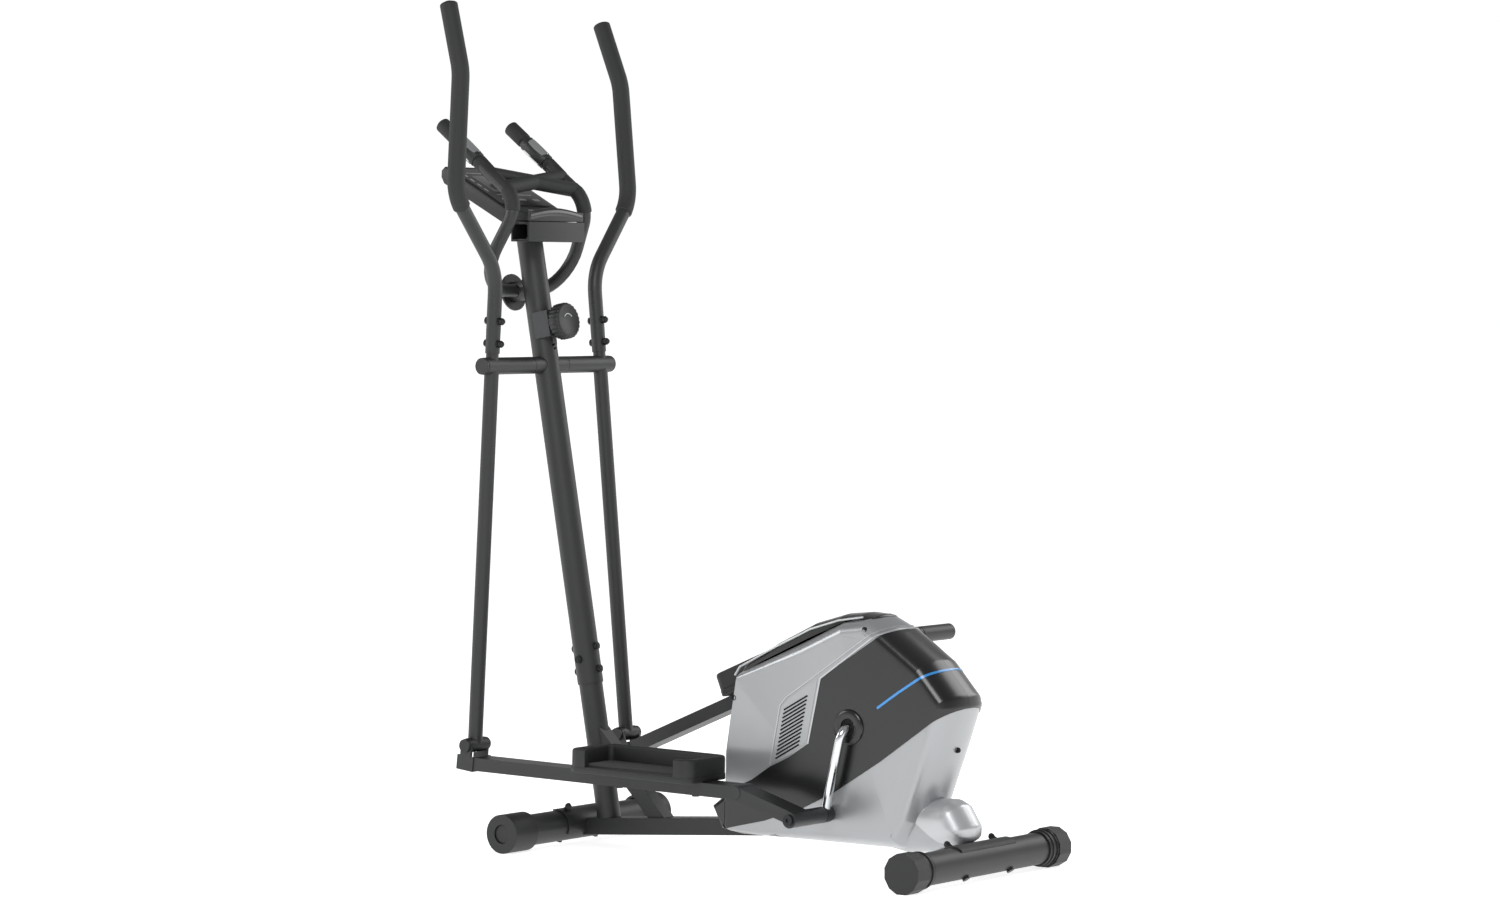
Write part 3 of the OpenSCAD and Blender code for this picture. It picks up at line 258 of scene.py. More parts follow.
@dataclass(frozen=True)
class Linkage:
    """Sizes of the machine, solved at rest for the moving frames."""

    pivot_h: float = 919
    crank_x: float = 765
    crank_h: float = 267
    crank_r: float = 165
    phase: float = 13.6
    swing: float = 727
    rod: float = 775
    arm_y: float = 165
    rod_tilt: float = 5.3
    rod_drop: float = 35
    middle_x: float = 428.252

    def at(self, x: float, y: float, z: float) -> Vector:
        """Turns machine millimetres into row-frame metres."""
        return Vector(((x - self.middle_x) * MM, y * MM, z * MM))

    def pin(self, side: Side) -> Vector:
        """Centre of a crank pin in the side view, as x and z."""
        a = math.radians(self.phase)
        return Vector((self.crank_x + side.value * self.crank_r * math.sin(a),
                       self.crank_h + side.value * self.crank_r * math.cos(a)))

    def joint(self, side: Side) -> Vector:
        """Joint of swing arm and pedal arm in the side view."""
        top = Vector((0.0, self.pivot_h))
        reach = self.pin(side) - top
        d = reach.length
        u = reach / d
        a = (self.swing**2 - self.rod**2 + d * d) / (2 * d)
        return top + a * u + math.sqrt(self.swing**2 - a * a) * Vector((u.y, -u.x))

    def on_swing(self, side: Side) -> Callable[[Point], Vector]:
        """Map from a swing arm's own frame to the row frame."""
        t = math.asin(-self.joint(side).x / self.swing)

        def place(p: Point) -> Vector:
            """Place a point of the swing arm."""
            return self.at(p[0] * math.cos(t) + p[2] * math.sin(t),
                           side.value * self.arm_y + p[1],
                           self.pivot_h - p[0] * math.sin(t) + p[2] * math.cos(t))

        return place

    def on_tube(self, side: Side) -> Callable[[Point], Vector]:
        """Map from a pedal arm's long tube frame to the row frame."""
        j, v = self.joint(side), self.pin(side) - self.joint(side)
        turn = math.atan2(v.y, v.x)
        tilt = math.radians(self.rod_tilt)

        def place(p: Point) -> Vector:
            """Place a point of the pedal arm tube."""
            x = p[0] * math.cos(tilt) - p[2] * math.sin(tilt)
            z = p[0] * math.sin(tilt) + p[2] * math.cos(tilt) - self.rod_drop
            return self.at(j.x + x * math.cos(turn) - z * math.sin(turn),
                           side.value * self.arm_y + p[1],
                           j.y + x * math.sin(turn) + z * math.cos(turn))

        return place


def rounded(points: Sequence[Point], radii: Sequence[float], steps: int = 10) -> list[Vector]:
    """Rounds every inner corner of a path to its own radius.

    Args:
        points: Corners of the path.
        radii: One radius for each inner corner.
        steps: Pieces of each arc.

    Returns:
        Points along the rounded path.
    """
    ps = [Vector(p) for p in points]
    out = [ps[0]]
    for i in range(1, len(ps) - 1):
        u, v = (ps[i - 1] - ps[i]).normalized(), (ps[i + 1] - ps[i]).normalized()
        half = u.angle(v) / 2
        r = radii[i - 1]
        centre = ps[i] + (u + v).normalized() * (r / math.sin(half))
        a = (ps[i] + u * (r / math.tan(half)) - centre).normalized()
        b = (ps[i] + v * (r / math.tan(half)) - centre).normalized()
        turn = a.angle(b)
        for k in range(steps + 1):
            f = k / steps
            out.append(centre + r * (math.sin(turn * (1 - f)) * a + math.sin(turn * f) * b)
                       / math.sin(turn))
    out.append(ps[-1])
    return out


def sweep(name: str, path: Sequence[Vector], radius: Callable[[float], float] | float,
          finish: Finish, sides: int = 32, place: Callable[[Point], Vector] | None = None,
          dome: float = 0.0) -> bpy.types.Object:
    """Sweeps a closed round bar along a path given in millimetres.

    Args:
        name: Object name.
        path: Points of the centre line.
        radius: Radius in millimetres, or a function of the distance along it.
        finish: Finish of the bar.
        sides: Sides of the round section.
        place: Map from the path's frame to the row frame.
        dome: Length of rounding at both ends.

    Returns:
        The swept object.
    """
    pts = [Vector(p) for p in path]
    if dome:
        for end in (0, -1):
            tip, nxt = pts[end], pts[1 if end == 0 else -2]
            u = (tip - nxt).normalized()
            extra = [tip - u * dome * (1 - math.sin(math.pi / 2 * k / 6)) for k in range(7)]
            pts = extra[::-1] + pts[1:] if end == 0 else pts[:-1] + extra
    run = [0.0]
    for a, b in zip(pts, pts[1:]):
        run.append(run[-1] + (b - a).length)
    size = radius if callable(radius) else (lambda s: radius)
    t0 = (pts[1] - pts[0]).normalized()
    n = t0.cross(Vector((1, 0, 0)) if abs(t0.x) < 0.8 else Vector((0, 1, 0))).normalized()
    verts, faces = [], []
    for i, p in enumerate(pts):
        t = (pts[min(i + 1, len(pts) - 1)] - pts[max(i - 1, 0)]).normalized()
        n = (n - n.dot(t) * t).normalized()
        b = t.cross(n)
        r = size(run[i])
        if dome:
            near = min(run[i], run[-1] - run[i])
            if near < dome:
                r *= max(0.35, math.sqrt(max(0.0, 1 - (1 - near / dome) ** 2)))
        for k in range(sides):
            a = 2 * math.pi * k / sides
            verts.append(p + r * (math.cos(a) * n + math.sin(a) * b))
        if i:
            o = (i - 1) * sides
            faces += [[o + k, o + (k + 1) % sides, o + sides + (k + 1) % sides, o + sides + k]
                      for k in range(sides)]
    faces.append(list(range(sides)))
    faces.append([(len(pts) - 1) * sides + k for k in reversed(range(sides))])
    to_row = place or (lambda p: LINK.at(*p))
    return mesh_object(name, [to_row(v) for v in verts], faces, finish)


def turned(name: str, profile: Sequence[Point], centre: Point, axis: Vector, finish: Finish,
           sides: int = 48, angle: float = 35.0) -> bpy.types.Object:
    """Turns a closed profile round an axis.

    Args:
        name: Object name.
        profile: Radius and height pairs from the axis out and back, in millimetres.
        centre: Origin of the profile, machine millimetres.
        axis: Direction of the height.
        finish: Finish of the piece.
        sides: Sides of the round section.
        angle: Smooth-shading limit in degrees.

    Returns:
        The turned object.
    """
    w = axis.normalized()
    u = w.cross(Vector((1, 0, 0)) if abs(w.x) < 0.8 else Vector((0, 1, 0))).normalized()
    v = w.cross(u)
    c = Vector(centre)
    verts, faces = [], []
    for r, h in profile:
        for k in range(sides):
            a = 2 * math.pi * k / sides
            verts.append(LINK.at(*(c + h * w + max(r, 0.01) * (math.cos(a) * u + math.sin(a) * v))))
    for i in range(len(profile) - 1):
        o = i * sides
        faces += [[o + k, o + (k + 1) % sides, o + sides + (k + 1) % sides, o + sides + k]
                  for k in range(sides)]
    faces.append(list(range(sides)))
    faces.append([(len(profile) - 1) * sides + k for k in reversed(range(sides))])
    return mesh_object(name, verts, faces, finish, angle)


def rounded_plate(name: str, outline: Sequence[Point], low: float, high: float,
                  place: Callable[[float, float, float], Vector], finish: Finish,
                  edge: float = 1.5, angle: float = 50.0) -> bpy.types.Object:
    """Makes a plate with softened rims from a flat outline.

    Args:
        name: Object name.
        outline: Corners of the plate in its own plane, in millimetres.
        low: Height of the lower face.
        high: Height of the upper face.
        place: Map from plane coordinates and height to the row frame.
        finish: Finish of the plate.
        edge: Size of the softened rim.
        angle: Smooth-shading limit in degrees.

    Returns:
        The plate.
    """
    pts = [Vector((p[0], p[1])) for p in outline]
    n = len(pts)
    area = sum(pts[i].x * pts[(i + 1) % n].y - pts[(i + 1) % n].x * pts[i].y for i in range(n))
    if area < 0:
        pts.reverse()

    def inset(d: float) -> list[Vector]:
        """Outline moved inwards by a distance."""
        out = []
        for i in range(n):
            a = (pts[i] - pts[i - 1]).normalized()
            b = (pts[(i + 1) % n] - pts[i]).normalized()
            m = Vector((-a.y - b.y, a.x + b.x))
            m.normalize()
            c = max(0.5, m.dot(Vector((-a.y, a.x))))
            out.append(pts[i] + m * (d / c))
        return out

    levels = [(edge, low), (0.3 * edge, low + 0.3 * edge * 0.7), (0, low + edge),
              (0, high - edge), (0.3 * edge, high - 0.3 * edge * 0.7), (edge, high)]
    verts, faces = [], []
    for d, h in levels:
        verts += [place(p.x, p.y, h) for p in inset(d)]
    for i in range(len(levels) - 1):
        o = i * n
        faces += [[o + k, o + (k + 1) % n, o + n + (k + 1) % n, o + n + k] for k in range(n)]
    faces.append(list(range(n)))
    faces.append([(len(levels) - 1) * n + k for k in reversed(range(n))])
    return mesh_object(name, verts, faces, finish, angle)


def corner_box(w: float, h: float, r: float, steps: int = 6) -> list[tuple[float, float]]:
    """Outline of a rectangle with rounded corners, centred on the origin.

    Args:
        w: Full width.
        h: Full height.
        r: Corner radius.
        steps: Pieces of each corner.

    Returns:
        Points of the outline, counter-clockwise.
    """
    out = []
    for i, (cx, cy) in enumerate(((1, 1), (-1, 1), (-1, -1), (1, -1))):
        for k in range(steps + 1):
            a = math.pi / 2 * (i + k / steps)
            out.append((cx * (w / 2 - r) + r * math.cos(a), cy * (h / 2 - r) + r * math.sin(a)))
    return out


def repeated(name: str, seed: bpy.types.Object, count: int, step: Vector,
             finish: Finish) -> bpy.types.Object:
    """Repeats a seed object along a line with Geometry Nodes, as one plain mesh.

    Args:
        name: Name of the result.
        seed: Object to repeat; it is removed afterwards.
        count: Number of copies.
        step: Shift from one copy to the next, in metres.
        finish: Finish of the copies.

    Returns:
        A mesh object that holds every copy.
    """
    group = bpy.data.node_groups.new(name + "_nodes", "GeometryNodeTree")
    face = group.interface
    count_in = face.new_socket("Count", in_out="INPUT", socket_type="NodeSocketInt")
    step_in = face.new_socket("Step", in_out="INPUT", socket_type="NodeSocketVector")
    seed_in = face.new_socket("Seed object", in_out="INPUT", socket_type="NodeSocketObject")
    mat_in = face.new_socket("Finish", in_out="INPUT", socket_type="NodeSocketMaterial")
    face.new_socket("Geometry", in_out="OUTPUT", socket_type="NodeSocketGeometry")
    add, link = group.nodes.new, group.links.new
    inputs, outputs = add("NodeGroupInput"), add("NodeGroupOutput")
    line = add("GeometryNodeMeshLine")
    info = add("GeometryNodeObjectInfo")
    place = add("GeometryNodeInstanceOnPoints")
    real = add("GeometryNodeRealizeInstances")
    paint = add("GeometryNodeSetMaterial")
    link(inputs.outputs["Count"], line.inputs["Count"])
    link(inputs.outputs["Step"], line.inputs["Offset"])
    link(inputs.outputs["Seed object"], info.inputs["Object"])
    link(line.outputs["Mesh"], place.inputs["Points"])
    link(info.outputs["Geometry"], place.inputs["Instance"])
    link(place.outputs["Instances"], real.inputs["Geometry"])
    link(real.outputs["Geometry"], paint.inputs["Geometry"])
    link(inputs.outputs["Finish"], paint.inputs["Material"])
    link(paint.outputs["Geometry"], outputs.inputs["Geometry"])
    host = bpy.data.objects.new(name + "_host", bpy.data.meshes.new(name + "_host"))
    bpy.context.scene.collection.objects.link(host)
    mod = host.modifiers.new("repeat", "NODES")
    mod.node_group = group
    mod[count_in.identifier] = count
    mod[step_in.identifier] = step
    mod[seed_in.identifier] = seed
    mod[mat_in.identifier] = finish.material()
    bpy.context.view_layer.update()
    graph = bpy.context.evaluated_depsgraph_get()
    mesh = bpy.data.meshes.new_from_object(host.evaluated_get(graph))
    bpy.data.objects.remove(host)
    bpy.data.objects.remove(seed)
    obj = bpy.data.objects.new(name, mesh)
    bpy.context.scene.collection.objects.link(obj)
    return finished(obj, finish)


LINK = Linkage()


@dataclass
class SwingHandle:
    """Swinging handlebar with its foam grip."""

    side: Side
    grip_y: float = 293
    top: float = 682
    bar_r: float = 14
    foam_r: float = 17

    def path(self) -> list[Vector]:
        """Centre line in the swing arm's frame."""
        y = self.side.value * (self.grip_y - LINK.arm_y)
        return rounded([(0, 0, 24), (0, 0, 180), (0, y, 323), (0, y, self.top - 126),
                        (-38, y, self.top)], [110, 90, 120])

    def build(self) -> list[bpy.types.Object]:
        """Builds the bar and the foam.

        Returns:
            The two pieces, riding on the swing arm.
        """
        body, place = f"swing_{self.side.tag}", LINK.on_swing(self.side)
        path = self.path()
        bar = sweep(f"bar_{self.side.tag}", path, self.bar_r, POWDER_COAT, place=place)
        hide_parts(f"handlebar_{self.side.tag}")
        foam_path = path[12:-1] + [path[-1] + (path[-1] - path[-2]).normalized() * 3]
        foam = sweep(f"foam_{self.side.tag}", foam_path, self.foam_r, FOAM, place=place, dome=7)
        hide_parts(f"grip_{self.side.tag}")
        return [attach(o, body) for o in (bar, foam)]


@dataclass
class FixedHandle:
    """Fixed handlebar with foam ends and pulse plates."""

    tip: Vector = field(default_factory=lambda: Vector((-175, 103, 1384)))
    bend: Vector = field(default_factory=lambda: Vector((20, 106, 1232)))
    clamp_x: float = -65.3
    clamp_h: float = 1063

    def half(self, s: int) -> list[Vector]:
        """Corners of one half of the bar."""
        pts = [self.tip, self.bend, Vector((self.clamp_x, 138, self.clamp_h))]
        return [Vector((p.x, s * p.y, p.z)) for p in pts]

    def build(self) -> list[bpy.types.Object]:
        """Builds bar, foam and pulse plates, all on the frame."""
        path = rounded(self.half(-1) + self.half(1)[::-1], [55, 80, 80, 55])
        bar = sweep("fixed_bar", path, 12.5, POWDER_COAT)
        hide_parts("fixed_handlebar")
        run = (self.bend - self.tip).normalized()
        foams, cases, plates = [], [], []
        for s in (-1, 1):
            def along(d: float, lift: float = 0.0) -> Vector:
                """Point along the straight end of the bar."""
                p = self.tip + run * d
                return Vector((p.x, s * p.y, p.z)) + lift * Vector((0.52, 0.0, 0.85))
            foams.append(sweep("f", [along(-4), along(20), along(47)], 15, FOAM, dome=5))
            bend = [Vector((p.x, s * p.y, p.z)) for p in path[1:9]]
            foams.append(sweep("f", [along(117), along(160)] + bend, 14.6, FOAM, dome=3))
            cases.append(sweep("c", [along(48), along(80), along(116)], 15.4, GRAINED_BLACK,
                               dome=3))
            for lift in (2.6, -3.0):
                plates.append(sweep("p", [along(d, lift) for d in (52, 60, 70, 82, 94, 104, 112)],
                                    lambda q: 13.6 + 0.6 * math.sin(math.pi * q / 60), STAINLESS,
                                    dome=9))
        foam = joined("fixed_foam", foams, FOAM)
        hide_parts("fixed_grips")
        case = joined("sensor_cases", cases, GRAINED_BLACK)
        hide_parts("pulse_sensors")
        plate = joined("pulse_plates", plates, STAINLESS)
        return [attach(o, "frame") for o in (bar, foam, case, plate)]


class HousingForm:
    """Smooth pillow-shaped body whose width follows the distance to its rim."""

    def __init__(self, outline: Sequence[Point], half: float, edge: float, radius: float = 18,
                 power: float = 2.2, front_edge: float | None = None) -> None:
        """Rounds the outline and keeps it for every later question.

        Args:
            outline: Convex or nearly convex side view, counter-clockwise.
            half: Half width at the flat flank.
            edge: Width of the rounded rim.
            radius: Rounding of the outline's corners.
            power: Squareness of the rim; 2 is a quarter circle.
            front_edge: Width of the rim at the front, where it is tighter.
        """
        self.half, self.edge, self.power = half, edge, power
        self.front_edge = edge if front_edge is None else front_edge
        pts = [Vector((p[0], p[1], 0)) for p in outline]
        n = len(pts)
        dense: list[Vector] = []
        for i in range(n):
            a, p, b = pts[i - 1], pts[i], pts[(i + 1) % n]
            r = min(radius, 0.4 * min((a - p).length, (b - p).length)
                    * math.tan(max(0.2, (a - p).angle(b - p) / 2)))
            arc = rounded([a, p, b], [r], 5)[1:-1]
            dense += arc
        loop: list[Vector] = []
        for a, b in zip(dense, dense[1:] + dense[:1]):
            steps = max(1, int((b - a).length / 8))
            loop += [a.lerp(b, k / steps) for k in range(steps)]
        self.loop = np.array([[p.x, p.y] for p in loop])

    def depth(self, pts: np.ndarray) -> np.ndarray:
        """Distance of points to the rim; negative outside."""
        a, b = self.loop, np.roll(self.loop, -1, axis=0)
        ab = b - a
        ap = pts[:, None, :] - a[None]
        t = np.clip((ap * ab).sum(2) / np.maximum((ab * ab).sum(1), 1e-9), 0, 1)
        gap = np.linalg.norm(ap - t[..., None] * ab, axis=2).min(1)
        x, y = pts[:, :1], pts[:, 1:]
        ax, ay, bx, by = a[:, 0], a[:, 1], b[:, 0], b[:, 1]
        cross = ((ay > y) != (by > y)) & (x < (bx - ax) * (y - ay) / (by - ay + 1e-12) + ax)
        inside = cross.sum(1) % 2 == 1
        return np.where(inside, gap, -gap)

    def rim(self, pts: np.ndarray) -> np.ndarray:
        """Width of the rounded rim near points of the side view."""
        return np.interp(pts[:, 0], [490, 650], [self.front_edge, self.edge])

    def width(self, pts: np.ndarray) -> np.ndarray:
        """Half width of the body over points of the side view."""
        f = np.clip(self.depth(pts) / self.rim(pts), 0, 1)
        return self.half * (1 - (1 - f) ** self.power) ** (1 / self.power)

    def normals(self, pts: np.ndarray) -> np.ndarray:
        """Outward directions of the right flank over points of the side view."""
        dx, dz = np.array([[1.0, 0.0]]), np.array([[0.0, 1.0]])
        out = np.column_stack([(self.width(pts - dx) - self.width(pts + dx)) / 2,
                               np.ones(len(pts)),
                               (self.width(pts - dz) - self.width(pts + dz)) / 2])
        return out / np.linalg.norm(out, axis=1)[:, None]

    def rings(self, steps: int = 12) -> list[np.ndarray]:
        """Shrinking copies of the outline, from the rim to the flat flank."""
        centre = self.loop.mean(0)
        nrm = np.roll(self.loop, -1, axis=0) - np.roll(self.loop, 1, axis=0)
        nrm = np.column_stack([-nrm[:, 1], nrm[:, 0]])
        nrm /= np.linalg.norm(nrm, axis=1)[:, None]
        if ((centre - self.loop) * nrm).sum() < 0:
            nrm = -nrm
        for _ in range(6):
            nrm = nrm + np.roll(nrm, 1, axis=0) + np.roll(nrm, -1, axis=0)
            nrm /= np.linalg.norm(nrm, axis=1)[:, None]
        wide = self.rim(self.loop)[:, None]
        return [self.loop + nrm * wide * (1 - math.cos(math.pi / 2 * i / steps))
                for i in range(steps + 1)]

    def cover(self, name: str, outline: Sequence[Point], side: int, lift: float, depth: float,
              finish: Finish, grid: float = 9.0) -> bpy.types.Object:
        """Lays a closed skin over part of one flank.

        Args:
            name: Object name.
            outline: Side view of the skin; it is cut at the body's rim.
            side: Sign of y.
            lift: Height of the skin's face above the body.
            depth: How far its back lies below the face.
            finish: Finish of the skin.
            grid: Spacing of the inner points.

        Returns:
            The skin.
        """
        edge_pts: list[list[float]] = []
        m = len(outline)
        for i in range(m):
            a, b = np.array(outline[i], float), np.array(outline[(i + 1) % m], float)
            steps = max(1, int(np.linalg.norm(b - a) / (grid * 0.6)))
            edge_pts += [list(a + (b - a) * k / steps) for k in range(steps)]
        poly = np.array(edge_pts)
        k = len(poly)
        lo, hi = poly.min(0), poly.max(0)
        gx, gy = np.meshgrid(np.arange(lo[0] + 3, hi[0], grid), np.arange(lo[1] + 3, hi[1], grid))
        inner = np.column_stack([gx.ravel(), gy.ravel()])
        shape = HousingForm.__new__(HousingForm)
        shape.loop = poly
        rings = np.vstack(self.rings()[1:])
        near = [inner[self.depth(inner) > self.rim(inner)], rings[self.depth(rings) > 0.2]]
        inner = np.vstack(near)
        inner = inner[shape.depth(inner) > 1.2]
        pts = np.vstack([poly, self.loop, inner])
        m = len(self.loop)
        edges = [(i, (i + 1) % k) for i in range(k)]
        edges += [(k + i, k + (i + 1) % m) for i in range(m)]
        out = delaunay_2d_cdt([Vector(p) for p in pts], edges, [], 0, 1e-3)
        flat = np.array([[v.x, v.y] for v in out[0]])
        mids = np.array([flat[list(t)].mean(0) for t in out[2]])
        keep = (shape.depth(mids) > 0) & (self.depth(mids) > 0)
        tris = [list(t) for t, ok in zip(out[2], keep) if ok]
        used = sorted({i for t in tris for i in t})
        number = {old: new for new, old in enumerate(used)}
        flat, tris = flat[used], [[number[i] for i in t] for t in tris]
        wide, out_dir = self.width(flat), self.normals(flat)
        top = np.column_stack([flat[:, 0], wide, flat[:, 1]]) + out_dir * lift
        low = np.column_stack([flat[:, 0], wide, flat[:, 1]]) + out_dir * (lift - depth)
        verts = [LINK.at(p[0], side * max(p[1], 0.12), p[2]) for p in top]
        verts += [LINK.at(p[0], side * max(p[1], 0.06), p[2]) for p in low]
        n = len(flat)
        faces = tris + [[n + i for i in reversed(t)] for t in tris]
        count: dict[tuple[int, int], int] = {}
        for t in tris:
            for a, b in zip(t, t[1:] + t[:1]):
                count[(a, b)] = count.get((a, b), 0) + 1
        faces += [[b, a, n + a, n + b] for (a, b) in count if (b, a) not in count]
        return mesh_object(name, verts, faces, finish, 40)

    def body(self, name: str, finish: Finish) -> bpy.types.Object:
        """Builds the closed body as rings of the shrinking outline.

        Args:
            name: Object name.
            finish: Finish of the body.

        Returns:
            The body, both flanks in one piece.
        """
        rings = self.rings()
        n = len(self.loop)
        verts, faces = [], []
        layers = []
        for side in (-1, 1):
            for i, ring in enumerate(rings):
                wide = self.width(ring) if i else np.zeros(n)
                layers.append((side, i, [LINK.at(p[0], side * w, p[1])
                                         for p, w in zip(ring, wide)]))
        left = [la for s, i, la in layers if s == -1][::-1]
        right = [la for s, i, la in layers if s == 1][1:]
        stack = left + right
        for layer in stack:
            verts += layer
        for i in range(len(stack) - 1):
            o = i * n
            faces += [[o + k, o + (k + 1) % n, o + n + (k + 1) % n, o + n + k] for k in range(n)]
        faces.append(list(range(n)))
        faces.append([(len(stack) - 1) * n + k for k in reversed(range(n))])
        return mesh_object(name, verts, faces, finish, 40)


@dataclass
class Housing:
    """Plastic housing of crank, flywheel and brake."""

    half: float = 68
    outline: tuple = ((470, 52), (548, 47), (873, 46), (905, 95), (962, 244), (985, 310),
                      (980, 331), (925, 392), (838, 451), (797, 470), (737, 462), (497, 352),
                      (473, 204))
    nose: tuple = ((434, 102), (461, 53), (500, 47), (600, 47), (600, 130), (500, 150))
    tail: tuple = ((790, 50), (857, 39), (919, 44), (972, 58), (996, 72), (999, 94), (974, 132),
                   (955, 141), (916, 140), (832, 158), (800, 130))
    flank: tuple = ((821, 429), (701, 353), (673, 231), (627, 202), (586, 183), (544, 156),
                    (478, 128), (478, 60), (574, 82), (662, 112), (731, 145), (834, 208),
                    (946, 285), (1040, 345), (1040, 480), (892, 480))
    leaf: tuple = ((836, 155), (871, 134), (899, 98), (944, 67), (972, 62), (1010, 60),
                   (1010, 150), (955, 150), (916, 137))
    crank: tuple = (765, 267)

    def build(self) -> list[bpy.types.Object]:
        """Builds every visible piece of the housing.

        Returns:
            The pieces, all riding on the frame.
        """
        form = HousingForm(self.outline, self.half - 1.5, 30, front_edge=13)
        nose = HousingForm(self.nose, 60, 16, 8)
        tail = HousingForm(self.tail, 46, 40, 12)
        body = form.body("shell_body", SILVER)
        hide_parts("shell_left", "shell_right")
        pieces = [body]
        fairing = tail.body("tail_body", SILVER)
        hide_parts("tail_fairing")
        cap = nose.body("nose_body", GLOSS_BLACK)
        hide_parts("nose_cover")
        pieces += [fairing, cap]
        for side in Side:
            s = side.value
            panel = form.cover(f"panel_skin_{side.tag}", self.flank, s, 1.6, 3.0, GLOSS_BLACK)
            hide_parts(f"panel_{side.tag}")
            stripe = form.cover(f"stripe_{side.tag}",
                                self.band([(828, 305), (873, 335), (924, 366), (957, 385),
                                           (984, 400)], 4.5), s, 2.3, 1.4, BLUE_TRIM, 4)
            # The trim ribs are real ridges; their lighter silver is painted highlight.
            trims = [form.cover("t", self.band([(673, 231), (701, 353), (815, 431), (873, 458),
                                                (892, 462)], 3.0, 2.5), s, 2.4, 3.0,
                                SILVER_PAINTED_HIGHLIGHT, 4),
                     form.cover("t", self.band([(586, 187), (609, 298), (622, 313), (811, 438),
                                                (868, 467)], 2.2, 1.0), s, 1.4, 2.0,
                                SILVER_PAINTED_HIGHLIGHT, 4)]
            trim = joined(f"panel_trim_{side.tag}", trims, SILVER_PAINTED_HIGHLIGHT)
            recess = form.cover(f"vent_field_{side.tag}",
                                [(588, 190), (627, 206), (669, 235), (694, 352), (628, 311),
                                 (612, 296)], s, 0.5, 1.2, SILVER, 8)
            vents = self.vents(side)
            ring = turned(f"boss_{side.tag}",
                          [(15.5, -3), (15.5, 4.4), (18, 5.6), (27, 5.6), (31, 4), (33, 1),
                           (33, -3)], (self.crank[0], s * self.half, self.crank[1]),
                          Vector((0, s, 0)), GLOSS_BLACK)
            # The bore of the boss is a near-black disc: painted shade.
            ring_hole = turned(f"boss_hole_{side.tag}", [(0, -4), (0, 1.9), (14.9, 1.9), (15.2, -4)],
                               (self.crank[0], s * self.half, self.crank[1]),
                               Vector((0, s, 0)), PAINTED_SHADE_BLACK)
            screws = self.screws(side, form)
            # The tail lip's lighter silver is painted highlight.
            leaf = tail.cover(f"tail_leaf_{side.tag}", self.leaf, s, 1.4, 2.2, SILVER_PAINTED_HIGHLIGHT, 7)
            pieces += [panel, stripe, trim, recess, vents, ring, ring_hole, screws, leaf]
        pieces += self.spine()
        return [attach(o, "frame") for o in pieces]

    @staticmethod
    def band(line: Sequence[Point], start: float, end: float | None = None) -> list[list[float]]:
        """Outline of a band that follows a line.

        Args:
            line: Points of the centre line.
            start: Width at its beginning.
            end: Width at its end.

        Returns:
            Closed outline.
        """
        end = start if end is None else end
        pts = [Vector(p) for p in line]
        up, down = [], []
        for i, p in enumerate(pts):
            t = (pts[min(i + 1, len(pts) - 1)] - pts[max(i - 1, 0)]).normalized()
            w = (start + (end - start) * i / (len(pts) - 1)) / 2
            up.append([p.x - t.y * w, p.y + t.x * w])
            down.append([p.x + t.y * w, p.y - t.x * w])
        return up + down[::-1]

    def vents(self, side: Side) -> bpy.types.Object:
        """Row of slanted vent slats in front of the panel, near-black as painted shade in the vent
        slots.
        """
        s = side.value

        def place(x: float, z: float, h: float) -> Vector:
            """Place a point on the flank."""
            return LINK.at(x, s * (self.half - 1.0 + h), z)

        slat = rounded_plate("slat", self.band([(599, 199), (652, 228)], 3.0), 0.0, 1.2, place,
                             PAINTED_SHADE_BLACK, 0.4)
        step = Vector((1.6 * MM, 0, 7.6 * MM))
        return repeated(f"vents_{side.tag}", slat, 13, step, PAINTED_SHADE_BLACK)

    def screws(self, side: Side, form: HousingForm) -> bpy.types.Object:
        """Screw recesses on one flank, near-black as painted shade in the wells."""
        s = side.value
        heads = []
        for x, z in ((797, 446), (502, 306), (958, 231), (905, 66), (482, 66)):
            w = float(form.width(np.array([[x, z]], float))[0])
            heads.append(turned("s", [(0, -3), (5, -3), (5, 0.6), (4, 1.0), (3.4, 0.2), (0, 0.1)],
                                (x, s * w, z), Vector((0, s, 0)), PAINTED_SHADE_BLACK, 20))
        return joined(f"housing_screws_{side.tag}", heads, PAINTED_SHADE_BLACK)

    def spine(self) -> list[bpy.types.Object]:
        """Glossy raised cover along the sloping top, with its rim in lighter silver as a painted
        highlight.
        """
        ridge = [(493, 352), (506, 371), (580, 413), (662, 452), (726, 470), (770, 474),
                 (806, 471)]
        base = [(806, 455), (745, 446), (660, 410), (580, 374), (505, 340)]

        def skin(name: str, half: float, drop: float, finish: Finish) -> bpy.types.Object:
            """Body that follows the ridge line."""
            line = [(x, z - drop) for x, z in ridge] + base
            shape = HousingForm(line[::-1], half, 13, 6, 2.0)
            return shape.body(name, finish)

        cover = skin("spine_cover", 44, 0.0, GLOSS_BLACK)
        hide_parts("top_cover")
        # The rim lines are lighter silver: painted highlight on the cover's edges.
        rims = []
        for s in (-1, 1):
            pts = [Vector((x, s * 45, z)) for x, z in
                   ((489, 346), (500, 362), (580, 402), (662, 440), (726, 459), (780, 467))]
            rims.append(sweep("r", pts, 2.2, SILVER_PAINTED_HIGHLIGHT, 12))
        rim = joined("spine_rim", rims, SILVER_PAINTED_HIGHLIGHT)
        return [cover, rim]


